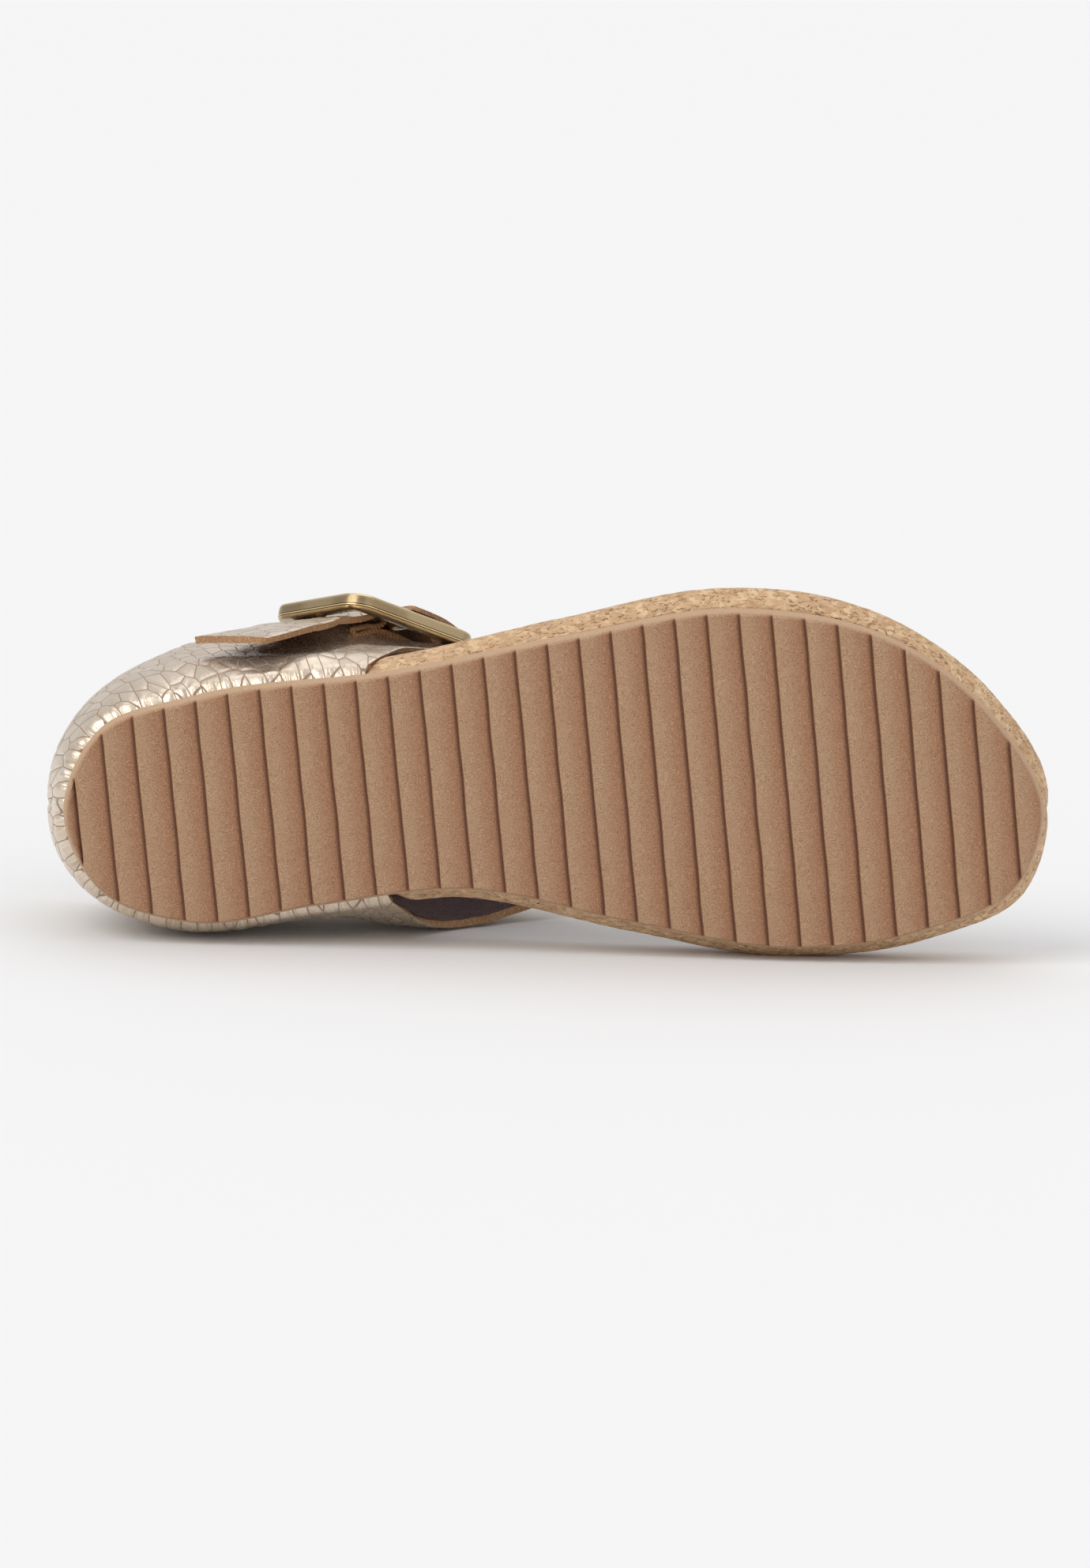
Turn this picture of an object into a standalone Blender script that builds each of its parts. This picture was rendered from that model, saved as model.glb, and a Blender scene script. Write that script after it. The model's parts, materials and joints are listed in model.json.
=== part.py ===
"""Right-foot flatform sandal: ribbed outsole, cork midsole, footbed, and an upper with a closed
heel, a toe post and an instep strap threaded through a slide buckle. It lies on its inner side."""

import math

import bmesh
import bpy
import numpy as np
from mathutils import Matrix, Vector

for old in list(bpy.data.objects):
    bpy.data.objects.remove(old, do_unlink=True)

# Driving dimensions in millimetres. In the shoe's own frame x runs from heel to toe,
# y towards the inner (medial) side and z up from the tread.
MM = 0.001
GAP = 0.3
SOLE_LENGTH = 252.0
OUTSOLE_THICK = 5.5
OUTSOLE_FLARE = 1.4
MIDSOLE_TOP = 20.0
INSOLE_THICK = 3.0
LEATHER = 2.0
TOE_SPRING = 4.0
TOE_SPRING_START = 178.0

# The sole's outline at the tread, seen from above: heel, outer side, toe, inner side.
# Columns: place, x, y.
OUTLINE = (
    ("heel back", 0.0, 5.0),
    ("heel outer quarter", 9.0, -16.0),
    ("heel outer", 33.0, -24.5),
    ("waist outer", 83.0, -31.0),
    ("joint outer", 130.0, -40.5),
    ("ball outer", 174.0, -47.3),
    ("small toe", 212.0, -40.0),
    ("toe outer", 238.0, -20.5),
    ("toe tip", SOLE_LENGTH, 6.0),
    ("toe inner", 246.0, 23.5),
    ("big toe", 222.0, 34.8),
    ("ball inner", 186.0, 39.2),
    ("joint inner", 147.0, 32.6),
    ("arch", 102.0, 23.7),
    ("waist inner", 64.0, 28.0),
    ("heel inner", 31.0, 32.4),
    ("heel inner quarter", 9.0, 24.5),
)
OUTLINE_STEPS = 88

# Tread: skewed bars, each a flat land that slopes down to a step at the next bar.
BAR_PITCH = 8.38
BAR_LAND = 2.6
BAR_DEPTH = 1.2
BAR_COUNT = 30
BAR_FIRST_STEP = 2.12
BAR_SKEW_DEG = 5.3
CUTTER_DEPTH = 3.0
CUTTER_CLEAR = 0.6
CUTTER_HALF_WIDTH = 80.0

# Midsole wall: share of the full flare at each height. The flare differs by direction, and
# little of it is left where the leather wraps the heel.
# Columns: height, share.
MIDSOLE_WALL = (
    (OUTSOLE_THICK + GAP, 0.30),
    (8.5, 0.75),
    (11.0, 1.00),
    (14.5, 1.00),
    (18.0, 0.80),
    (MIDSOLE_TOP, 0.35),
)
FLARE_OUTER = 5.4
FLARE_INNER = 4.4
FLARE_TOE = 2.4
FLARE_HEEL = 1.6
WRAPPED_SHARE = 0.20
WRAPPED_TO = 81.0
BARE_FROM = 96.0

# Footbed: raised rim round the heel and a low arch support. Its rings step inwards from the edge.
HEEL_CUP = 2.5
CUP_RIM = 12.0
CUP_FROM = 110.0
CUP_FULL = 40.0
ARCH_RISE = 4.0
ARCH_X = 96.0
ARCH_REACH = 30.0
ARCH_FROM_Y = -8.0
ARCH_FULL_Y = 22.0
ARCH_MIDDLE_SHARE = 0.35
INSOLE_RINGS = (0.0, -4.0, -10.0, -17.0)
INSOLE_EDGE_ROUND = 0.8
INSOLE_MARGIN = 1.6
INSOLE_HEEL_MARGIN = -1.0
HEEL_MARGIN_TO = 55.0
MARGIN_FROM = 88.0

# The last, inside the leather: widest half-widths and their heights on the outer and inner
# sides, and the height of the instep, at stations forward of the heel's centre. Behind that
# the widest line turns round the heel, fuller than an ellipse, whose fullness would be 2.
CENTRE_Y = 5.0
HEEL_CENTRE_X = 45.0
HEEL_BACK_REACH = 49.8
HEEL_FULLNESS = 2.25
HEEL_EDGE_OVERLAP = 12.0
WALL_FOOT_Z = OUTSOLE_THICK + 1.4 * GAP
WALL_FOOT_OUT = 1.4
# Columns: x, outer, outer_z, inner, inner_z, crown.
LAST = (
    (45.0, 31.3, 30.0, 37.6, 18.5, 132.0),
    (65.0, 32.4, 33.0, 35.0, 22.0, 120.0),
    (80.0, 34.0, 38.0, 36.6, 32.0, 109.0),
    (97.0, 33.4, 38.0, 39.4, 42.0, 99.0),
    (115.0, 36.0, 37.0, 38.4, 44.0, 87.0),
    (135.0, 40.0, 35.0, 36.8, 40.0, 74.0),
    (160.0, 43.5, 32.0, 36.6, 34.0, 59.0),
    (185.0, 42.0, 30.0, 37.0, 30.0, 44.5),
    (200.0, 40.0, 28.0, 36.0, 28.0, 35.0),
    (210.0, 38.0, 24.0, 35.0, 24.0, 27.0),
)

# Counter, quarters and forward branches are one wall. Around counts degrees round the heel, 0 at
# the back and 90 at its centre, then millimetres forward, negative on the outer side. An edge is
# at -1 on the outsole, 0 on the widest line and 1 on the crown of the instep.
# Columns: around, low_edge, high_edge.
WALL = (
    (-191.0, 0.88, 0.97),
    (-181.0, 0.75, 0.93),
    (-170.0, 0.57, 0.79),
    (-157.0, 0.31, 0.48),
    (-145.0, 0.15, 0.31),
    (-137.0, 0.07, 0.24),
    (-132.0, -0.07, 0.18),
    (-127.0, -0.50, 0.12),
    (-121.6, -1.00, 0.10),
    (-105.0, -1.00, 0.12),
    (-90.0, -1.00, 0.16),
    (-45.0, -1.00, 0.25),
    (0.0, -1.00, 0.31),
    (45.0, -1.00, 0.27),
    (90.0, -1.00, 0.21),
    (105.0, -1.00, 0.20),
    (117.0, -1.00, 0.22),
    (127.5, -1.00, 0.25),
    (132.0, -0.60, 0.28),
    (137.0, -0.26, 0.32),
    (144.0, -0.05, 0.38),
    (156.0, 0.07, 0.50),
    (169.0, 0.24, 0.74),
    (181.0, 0.60, 0.92),
    (191.0, 0.85, 0.97),
)
WALL_STEPS_ROUND = 96
WALL_STEPS_UP = 6

# Toe strap: from the meeting of the branches down to the post between the toes.
# Columns: x, y, half_width.
TOE_STRAP = (
    (122.0, 4.6, 12.0),
    (140.0, 5.0, 11.5),
    (158.0, 7.5, 9.5),
    (178.0, 11.0, 7.5),
    (196.0, 14.4, 5.6),
    (206.0, 16.0, 4.6),
)
TOE_STRAP_STEPS = 26
TOE_STRAP_STEPS_ACROSS = 4
SEWN_LIFT = 1.1
POST_X = 203.5
POST_Y = 15.6
POST_RADIUS = 3.0
POST_SIDES = 14

# Buckle: a rounded rectangular frame with a centre bar, standing flat outside the ankle.
BUCKLE_CENTRE = (78.5, -37.1, 65.0)
BUCKLE_ALONG = (31.0, 13.0, 24.0)
BUCKLE_OUT = (0.12, -0.92, 0.37)
BUCKLE_LENGTH = 43.5
BUCKLE_WIDTH = 37.0
BUCKLE_CORNER = 6.5
BUCKLE_CORNER_STEPS = 6
BUCKLE_BAR_WIDTH = 4.8
BUCKLE_BAR_THICK = 4.2
BUCKLE_BAR_ROUND = 1.2
BUCKLE_BAR_ROUND_STEPS = 2
CENTRE_BAR_RADIUS = 1.75
CENTRE_BAR_SIDES = 16

# Instep strap, given by the middle of its inner face. It is sewn in behind the inner quarter, crosses
# the instep, threads under, over and under the buckle's bars, and its tail lies along the counter.
STRAP_WIDTH = 24.6
STRAP_THICK = 2.6
# Columns: around, rise, lift off the last.
STRAP_OVER_FOOT = (
    (96.0, 0.15, -1.5),
    (104.0, 0.20, -1.5),
    (112.0, 0.25, -1.5),
    (124.0, 0.32, -1.4),
    (136.0, 0.43, -0.8),
    (144.0, 0.56, 0.2),
    (151.5, 0.82, 1.4),
    (154.0, 1.00, 2.0),
    (-151.5, 0.82, 2.4),
    (-144.0, 0.57, 3.2),
)
# Columns: along the buckle, out from its middle plane.
STRAP_IN_BUCKLE = (
    (22.5, -6.0),
    (16.0, -5.2),
    (7.0, 1.6),
    (0.0, 2.6),
    (-7.0, 1.4),
    (-16.0, -5.0),
    (-22.5, -5.6),
)
# Columns: around, rise, lift off the last.
STRAP_TAIL = (
    (-98.0, 0.084, 6.0),
    (-90.0, 0.049, 4.8),
    (-84.5, 0.018, 4.6),
)
STRAP_STEPS = 84
STRAP_STEPS_ACROSS = 3
# Weight of the strap's facing beside its place, when both are smoothed as one curve.
FACING_REACH = 40.0

# Elastic: one band folded double, its fold sewn at the outer tab, its ends under the buckle.
ELASTIC_WIDTH = 15.0
ELASTIC_THICK = 1.6
# Columns: along the buckle, out from its middle plane.
ELASTIC_IN_BUCKLE = (
    (2.0, -3.1),
    (-2.0, -3.1),
    (-6.0, -3.3),
    (-9.0, -3.7),
    (-10.6, -4.6),
    (-9.0, -5.5),
    (-5.0, -5.5),
    (0.0, -5.3),
    (4.5, -5.1),
)
ELASTIC_STEPS = 34

# Zones of the inner side that can touch the floor when the shoe lies on it.
HEEL_ZONE_TO = 62.0
WAIST_ZONE_FROM = 82.0
WAIST_ZONE_TO = 130.0
WAIST_ZONE_ABOVE = 30.0
BALL_ZONE_FROM = 150.0
LYING_ROUNDS = 12


def new_collection(name):
    collection = bpy.data.collections.new(name)
    bpy.context.scene.collection.children.link(collection)
    return collection


PARTS = new_collection("slingback_sandal")
CUTTERS = new_collection("cutters")


def material(name, colour, roughness, metallic=0.0):
    made = bpy.data.materials.new(name)
    made.use_nodes = True
    shader = made.node_tree.nodes["Principled BSDF"]
    shader.inputs["Base Color"].default_value = (*colour, 1.0)
    shader.inputs["Roughness"].default_value = roughness
    shader.inputs["Metallic"].default_value = metallic
    return made


def add_object(name, bm, collection=PARTS, finish=None):
    """A new object from a bmesh, in metres, in the given collection."""
    mesh = bpy.data.meshes.new(name)
    bm.to_mesh(mesh)
    bm.free()
    obj = bpy.data.objects.new(name, mesh)
    collection.objects.link(obj)
    if finish:
        mesh.materials.append(finish)
    if collection is CUTTERS:
        obj.hide_render = True
        obj.display_type = "WIRE"
    return obj


def apply_modifiers(obj):
    """Replace the object's mesh by its evaluated one, with stray doubles merged."""
    evaluated = obj.evaluated_get(bpy.context.evaluated_depsgraph_get())
    mesh = bpy.data.meshes.new_from_object(evaluated)
    obj.modifiers.clear()
    obj.data = mesh
    bm = bmesh.new()
    bm.from_mesh(mesh)
    bmesh.ops.remove_doubles(bm, verts=bm.verts, dist=0.005 * MM)
    bmesh.ops.dissolve_degenerate(bm, edges=bm.edges, dist=0.005 * MM)
    bm.to_mesh(mesh)
    bm.free()


def boolean(obj, operation, other):
    modifier = obj.modifiers.new(other.name, "BOOLEAN")
    modifier.operation = operation
    modifier.object = other


def smooth(obj, angle_deg=35.0):
    obj.data.shade_smooth()
    obj.data.set_sharp_from_angle(angle=math.radians(angle_deg))


def eased(knots, values, at):
    """Cubic curve through the values at rising knots, held flat past both ends."""
    knots = np.asarray(knots, float)
    values = np.asarray(values, float)
    slopes = np.gradient(values, knots, axis=0)
    at = float(np.clip(at, knots[0], knots[-1]))
    i = int(np.clip(np.searchsorted(knots, at, side="right") - 1, 0, len(knots) - 2))
    step = knots[i + 1] - knots[i]
    f = (at - knots[i]) / step
    start = (1 + 2 * f) * (1 - f) ** 2 * values[i] + f * (1 - f) ** 2 * step * slopes[i]
    end = f * f * (3 - 2 * f) * values[i + 1] + f * f * (f - 1) * step * slopes[i + 1]
    return start + end


def table_row(table, at):
    """All columns of a table after the first, eased at a value of the first column."""
    rows = np.array(table, float)
    return eased(rows[:, 0], rows[:, 1:], at)


def smooth_through(points, count, closed=False):
    """Evenly spaced points on a smooth curve through the given points."""
    points = np.array(points, float)
    if closed:
        points = np.vstack([points[-3:], points, points[:4]])
    chords = np.linalg.norm(np.diff(points, axis=0), axis=1)
    knots = np.concatenate([[0.0], np.cumsum(chords)])
    first, last = (knots[3], knots[-4]) if closed else (knots[0], knots[-1])
    dense = np.array([eased(knots, points, t) for t in np.linspace(first, last, 20 * count)])
    lengths = np.concatenate([[0.0], np.cumsum(np.linalg.norm(np.diff(dense, axis=0), axis=1))])
    wanted = np.linspace(0.0, lengths[-1], count, endpoint=not closed)
    return np.column_stack([np.interp(wanted, lengths, dense[:, k]) for k in range(points.shape[1])])


# Sole outline and the rings drawn from it.
EDGE = smooth_through([row[1:] for row in OUTLINE], OUTLINE_STEPS, closed=True)
EDGE_TANGENT = np.roll(EDGE, -1, axis=0) - np.roll(EDGE, 1, axis=0)
EDGE_OUT = np.column_stack([EDGE_TANGENT[:, 1], -EDGE_TANGENT[:, 0]])
EDGE_OUT /= np.linalg.norm(EDGE_OUT, axis=1)[:, None]


def toe_lift(x):
    reach = np.clip((x - TOE_SPRING_START) / (SOLE_LENGTH - TOE_SPRING_START), 0.0, 1.3)
    return TOE_SPRING * reach ** 2


def ring(offsets, height):
    """The outline moved outwards by an offset for each of its points, at one height."""
    flat = EDGE + EDGE_OUT * np.asarray(offsets)[:, None]
    return np.column_stack([flat, np.full(len(flat), height)])


def ramp(x, start, end):
    f = np.clip((x - start) / (end - start), 0.0, 1.0)
    return f * f * (3 - 2 * f)


def loft(name, rings, finish):
    """Closed solid through rings of equal count, each end closed by rungs across the foot."""
    bm = bmesh.new()
    loops = [[bm.verts.new(Vector(point) * MM) for point in points] for points in rings]
    for low, high in zip(loops, loops[1:]):
        for i in range(len(low)):
            bm.faces.new((low[i - 1], low[i], high[i], high[i - 1]))
    half = OUTLINE_STEPS // 2
    for loop, turn in ((loops[0], -1), (loops[-1], 1)):
        for i in range(half):
            corners = (loop[i], loop[i + 1], loop[-i - 1], loop[-i])
            corners = list(dict.fromkeys(corners))
            bm.faces.new(corners[::turn])
    return add_object(name, bm, finish=finish)


def spring(obj):
    """Bend the toe end up."""
    for vertex in obj.data.vertices:
        vertex.co.z += toe_lift(vertex.co.x / MM) * MM


def tread_cutter():
    """Slab with saw teeth on top, run across the sole at the skew of the bars."""
    bm = bmesh.new()
    under, below = -CUTTER_DEPTH, -CUTTER_CLEAR
    profile = [(BAR_FIRST_STEP, under), (BAR_FIRST_STEP, below)]
    for i in range(BAR_COUNT):
        x = BAR_FIRST_STEP + i * BAR_PITCH
        profile += [(x + BAR_LAND, below), (x + BAR_LAND, 0.0)]
        profile += [(x + BAR_PITCH, BAR_DEPTH), (x + BAR_PITCH, below)]
    profile.append((profile[-1][0], under))
    half = CUTTER_HALF_WIDTH
    face = bm.faces.new([bm.verts.new((x * MM, -half * MM, z * MM)) for x, z in profile])
    swept = bmesh.ops.extrude_face_region(bm, geom=[face])["geom"]
    ends = [item for item in swept if isinstance(item, bmesh.types.BMVert)]
    bmesh.ops.translate(bm, vec=(0.0, 2 * half * MM, 0.0), verts=ends)
    for vertex in bm.verts:
        vertex.co.x += vertex.co.y * math.tan(math.radians(BAR_SKEW_DEG))
    bmesh.ops.recalc_face_normals(bm, faces=bm.faces)
    return add_object("tread_cutter", bm, CUTTERS)


def make_outsole():
    still = np.zeros(OUTLINE_STEPS)
    rings = [ring(still, 0.0), ring(still + OUTSOLE_FLARE * 0.6, OUTSOLE_THICK * 0.4)]
    rings.append(ring(still + OUTSOLE_FLARE, OUTSOLE_THICK))
    outsole = loft("outsole", rings, material("foam_rubber", (0.40, 0.21, 0.12), 0.85))
    boolean(outsole, "DIFFERENCE", tread_cutter())
    apply_modifiers(outsole)
    spring(outsole)
    return outsole


def midsole_flare():
    """Full flare of the cork wall at each point of the outline."""
    sideways = np.where(EDGE_OUT[:, 1] < 0, FLARE_OUTER, FLARE_INNER) * abs(EDGE_OUT[:, 1])
    endways = np.where(EDGE_OUT[:, 0] > 0, FLARE_TOE, FLARE_HEEL) * abs(EDGE_OUT[:, 0])
    bare = ramp(EDGE[:, 0], WRAPPED_TO, BARE_FROM)
    return (sideways + endways) * (WRAPPED_SHARE + (1 - WRAPPED_SHARE) * bare)


def make_midsole():
    rings = [ring(midsole_flare() * share, height) for height, share in MIDSOLE_WALL]
    midsole = loft("midsole", rings, material("cork", (0.56, 0.38, 0.22), 0.8))
    spring(midsole)
    smooth(midsole)
    return midsole


def footbed_rise(x, y, inset):
    """Height of the footbed above its flat: the heel's cup and the arch support."""
    near_rim = 1 - min(-inset / CUP_RIM, 1.0)
    cup = HEEL_CUP * (1 - ramp(x, CUP_FULL, CUP_FROM)) * near_rim ** 2
    arch = ARCH_RISE * math.exp(-((x - ARCH_X) / ARCH_REACH) ** 2)
    arch *= ramp(y, ARCH_FROM_Y, ARCH_FULL_Y)
    inward = min(inset / INSOLE_RINGS[-1], 1.0)
    return cup + arch * (1 - (1 - ARCH_MIDDLE_SHARE) * inward)


def make_insole():
    forward = ramp(EDGE[:, 0], HEEL_MARGIN_TO, MARGIN_FROM)
    margin = INSOLE_HEEL_MARGIN + (INSOLE_MARGIN - INSOLE_HEEL_MARGIN) * forward
    low, high = MIDSOLE_TOP + GAP, MIDSOLE_TOP + GAP + INSOLE_THICK
    rings = [ring(-margin, low), ring(-margin, high - INSOLE_EDGE_ROUND)]
    for inset in INSOLE_RINGS:
        edge = INSOLE_EDGE_ROUND if inset == 0.0 else 0.0
        top = ring(inset - margin - edge, high)
        top[:, 2] += [footbed_rise(x, y, inset) for x, y, z in top]
        rings.append(top)
    rings[1][:, 2] += [footbed_rise(x, y, 0.0) for x, y, z in rings[1]]
    insole = loft("insole", rings, material("sock_lining", (0.34, 0.23, 0.18), 0.75))
    spring(insole)
    smooth(insole)
    return insole


# The last's surface, which the leather follows.
OUTER_EDGE = np.array(sorted((x, y) for x, y in EDGE if y < CENTRE_Y))
INNER_EDGE = np.array(sorted((x, y) for x, y in EDGE if y >= CENTRE_Y))
HEEL_EDGE = np.array(sorted(
    (math.atan2(y - CENTRE_Y, HEEL_CENTRE_X - x), math.hypot(x - HEEL_CENTRE_X, y - CENTRE_Y))
    for x, y in EDGE if x < HEEL_CENTRE_X + HEEL_EDGE_OVERLAP))


def skin_point(around, rise):
    """A point of the last: around the heel and along the sides, from the sole to the crown."""
    side = -1.0 if around < 0 else 1.0
    forward = max(abs(around) - 90.0, 0.0)
    turn = math.radians(min(abs(around), 90.0))
    x = HEEL_CENTRE_X + forward
    outer, outer_z, inner, inner_z, crown = table_row(LAST, x)
    reach = inner - CENTRE_Y if side > 0 else outer + CENTRE_Y
    widest_z = outer_z + (inner_z - outer_z) * (1 + side * math.sin(turn)) / 2
    back = max(math.cos(turn), 0.0) ** (2 / HEEL_FULLNESS)
    sideways = math.sin(turn) ** (2 / HEEL_FULLNESS)
    wide = np.array([-HEEL_BACK_REACH * back, side * reach * sideways])
    if rise < 0:
        direction = math.atan2(wide[1], -wide[0])
        if forward > 0:
            edge = OUTER_EDGE if side < 0 else INNER_EDGE
            radius = abs(np.interp(x, edge[:, 0], edge[:, 1]) - CENTRE_Y)
        else:
            radius = np.interp(direction, HEEL_EDGE[:, 0], HEEL_EDGE[:, 1])
        foot = wide / np.linalg.norm(wide) * (radius + WALL_FOOT_OUT)
        z = widest_z + (widest_z - WALL_FOOT_Z) * rise
        flat = foot + (wide - foot) * math.sin((1 + rise) * math.pi / 2)
    else:
        z = widest_z + (crown - widest_z) * math.sin(rise * math.pi / 2)
        flat = wide * math.cos(rise * math.pi / 2)
    return np.array([x + flat[0], CENTRE_Y + flat[1], z])


def skin_out(around, rise):
    """Outward direction of the last's surface."""
    small = 0.01
    rise = min(rise, 1.0 - 2 * small)
    up = skin_point(around, rise + small) - skin_point(around, rise - small)
    on = skin_point(around + 0.5, rise) - skin_point(around - 0.5, rise)
    out = np.cross(up, on)
    return out / np.linalg.norm(out)


def top_z(x, y):
    """Height of the last's upper surface over a point of the forefoot."""
    outer, outer_z, inner, inner_z, crown = table_row(LAST, x)
    reach, widest_z = (inner - CENTRE_Y, inner_z) if y > CENTRE_Y else (outer + CENTRE_Y, outer_z)
    share = min(abs(y - CENTRE_Y) / reach, 1.0)
    return widest_z + (crown - widest_z) * math.sqrt(1 - share ** 2)


def strip(name, along, across, place, thickness, collection=PARTS, finish=None):
    """A strip of leather: a grid laid on a surface, with its thickness outside it."""
    bm = bmesh.new()
    bmesh.ops.create_grid(bm, x_segments=along, y_segments=across, size=0.5)
    for vertex in bm.verts:
        vertex.co = Vector(place(vertex.co.x + 0.5, vertex.co.y + 0.5)) * MM
    obj = add_object(name, bm, collection, finish)
    wall = obj.modifiers.new("thickness", "SOLIDIFY")
    wall.thickness = thickness * MM
    wall.offset = 1.0
    wall.use_even_offset = True
    return obj


def wall_place(along, up):
    around = WALL[-1][0] + (WALL[0][0] - WALL[-1][0]) * along
    low, high = table_row(WALL, around)
    low = max(low, -1.0)
    return skin_point(around, low + (high - low) * up)


def toe_strap_place(along, across):
    x = TOE_STRAP[0][0] + (TOE_STRAP[-1][0] - TOE_STRAP[0][0]) * along
    y, half_width = table_row(TOE_STRAP, x)
    y += half_width * (2 * across - 1)
    return np.array([x, y, top_z(x, y) + SEWN_LIFT])


ALONG = Vector(BUCKLE_ALONG).normalized()
ACROSS = Vector(BUCKLE_OUT).cross(ALONG).normalized()
OUT = ALONG.cross(ACROSS).normalized()


def buckle_point(along, out):
    return np.array(Vector(BUCKLE_CENTRE) + ALONG * along + OUT * out)


def lifted(around, rise, lift):
    return skin_point(around, rise) + skin_out(around, rise) * lift


def band_place(path, facing, width):
    """Placing function of a flat band along a path, turned to face the given directions."""
    tangent = np.gradient(path, axis=0)
    tangent /= np.linalg.norm(tangent, axis=1)[:, None]
    across = np.cross(facing, tangent)
    across /= np.linalg.norm(across, axis=1)[:, None]
    steps = np.linspace(0.0, 1.0, len(path))

    def place(along, side):
        middle = [np.interp(along, steps, path[:, k]) for k in range(3)]
        sideways = [np.interp(along, steps, across[:, k]) for k in range(3)]
        return np.array(middle) + np.array(sideways) * width * (side - 0.5)

    return place


def instep_strap():
    points, facing = [], []
    for row in STRAP_OVER_FOOT:
        points.append(lifted(*row))
        facing.append(skin_out(*row[:2]))
    for row in STRAP_IN_BUCKLE:
        points.append(buckle_point(*row))
        facing.append(np.array(OUT))
    for row in STRAP_TAIL:
        points.append(lifted(*row))
        facing.append(skin_out(*row[:2]))
    both = smooth_through(np.hstack([points, FACING_REACH * np.array(facing)]), STRAP_STEPS + 1)
    place = band_place(both[:, :3], both[:, 3:], STRAP_WIDTH)
    return strip("instep_strap", STRAP_STEPS, STRAP_STEPS_ACROSS, place, STRAP_THICK, CUTTERS)


def toe_post():
    low = MIDSOLE_TOP + 3 * GAP + INSOLE_THICK + toe_lift(POST_X)
    low += footbed_rise(POST_X, POST_Y, INSOLE_RINGS[-1])
    high = top_z(POST_X, POST_Y) + SEWN_LIFT + LEATHER / 2
    bm = bmesh.new()
    bmesh.ops.create_cone(bm, cap_ends=True, segments=POST_SIDES, depth=(high - low) * MM,
                          radius1=POST_RADIUS * MM, radius2=POST_RADIUS * MM)
    bmesh.ops.translate(bm, vec=Vector((POST_X, POST_Y, (low + high) / 2)) * MM, verts=bm.verts)
    return add_object("toe_post", bm, CUTTERS)


def make_upper():
    gold = material("gold_leather", (0.75, 0.64, 0.50), 0.35, 0.6)
    upper = strip("upper", WALL_STEPS_ROUND, WALL_STEPS_UP, wall_place, LEATHER, finish=gold)
    boolean(upper, "UNION", strip("toe_strap", TOE_STRAP_STEPS, TOE_STRAP_STEPS_ACROSS,
                                  toe_strap_place, LEATHER, CUTTERS))
    boolean(upper, "UNION", toe_post())
    boolean(upper, "UNION", instep_strap())
    apply_modifiers(upper)
    smooth(upper)
    return upper


def make_elastic():
    path = smooth_through([buckle_point(*row) for row in ELASTIC_IN_BUCKLE], ELASTIC_STEPS + 1)
    tangent = np.gradient(path, axis=0)
    facing = np.cross(tangent, np.array(ACROSS))
    facing /= np.linalg.norm(facing, axis=1)[:, None]
    path -= facing * ELASTIC_THICK / 2
    place = band_place(path, facing, ELASTIC_WIDTH)
    braid = material("braided_elastic", (0.36, 0.19, 0.09), 0.9)
    elastic = strip("elastic_gore", ELASTIC_STEPS, 1, place, ELASTIC_THICK, finish=braid)
    apply_modifiers(elastic)
    smooth(elastic)
    return elastic


def rounded_rectangle(length, width, radius, corner_steps):
    points = []
    for turn, (side_x, side_y) in enumerate(((1, 1), (-1, 1), (-1, -1), (1, -1))):
        middle = Vector((side_x * (length / 2 - radius), side_y * (width / 2 - radius)))
        for i in range(corner_steps + 1):
            angle = (turn + i / corner_steps) * math.pi / 2
            points.append(middle + Vector((math.cos(angle), math.sin(angle))) * radius)
    return points


def flat_curve(name, points):
    curve = bpy.data.curves.new(name, "CURVE")
    spline = curve.splines.new("POLY")
    spline.points.add(len(points) - 1)
    for slot, point in zip(spline.points, points):
        slot.co = (point.x * MM, point.y * MM, 0.0, 1.0)
    spline.use_cyclic_u = True
    obj = bpy.data.objects.new(name, curve)
    CUTTERS.objects.link(obj)
    return obj


def make_buckle():
    middle_radius = BUCKLE_CORNER - BUCKLE_BAR_WIDTH / 2
    frame = flat_curve("buckle_path", rounded_rectangle(
        BUCKLE_LENGTH - BUCKLE_BAR_WIDTH, BUCKLE_WIDTH - BUCKLE_BAR_WIDTH, middle_radius,
        BUCKLE_CORNER_STEPS))
    section = flat_curve("buckle_section", rounded_rectangle(
        BUCKLE_BAR_WIDTH, BUCKLE_BAR_THICK, BUCKLE_BAR_ROUND, BUCKLE_BAR_ROUND_STEPS))
    frame.data.bevel_mode = "OBJECT"
    frame.data.bevel_object = section
    evaluated = frame.evaluated_get(bpy.context.evaluated_depsgraph_get())
    bm = bmesh.new()
    bm.from_mesh(bpy.data.meshes.new_from_object(evaluated))
    bmesh.ops.remove_doubles(bm, verts=bm.verts, dist=0.005 * MM)
    bmesh.ops.recalc_face_normals(bm, faces=bm.faces)
    brass = material("antique_brass", (0.42, 0.34, 0.20), 0.35, 1.0)
    buckle = add_object("buckle", bm, finish=brass)
    for guide in (frame, section):
        bpy.data.objects.remove(guide, do_unlink=True)

    bm = bmesh.new()
    bar_length = BUCKLE_WIDTH - BUCKLE_BAR_WIDTH
    upright = Matrix.Rotation(math.pi / 2, 4, "X")
    bmesh.ops.create_cone(bm, cap_ends=True, segments=CENTRE_BAR_SIDES, matrix=upright,
                          depth=bar_length * MM, radius1=CENTRE_BAR_RADIUS * MM,
                          radius2=CENTRE_BAR_RADIUS * MM)
    boolean(buckle, "UNION", add_object("centre_bar", bm, CUTTERS))
    apply_modifiers(buckle)
    turn = Matrix((ALONG, ACROSS, OUT)).transposed().to_4x4()
    buckle.data.transform(Matrix.Translation(Vector(BUCKLE_CENTRE) * MM) @ turn)
    smooth(buckle)
    return buckle


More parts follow.
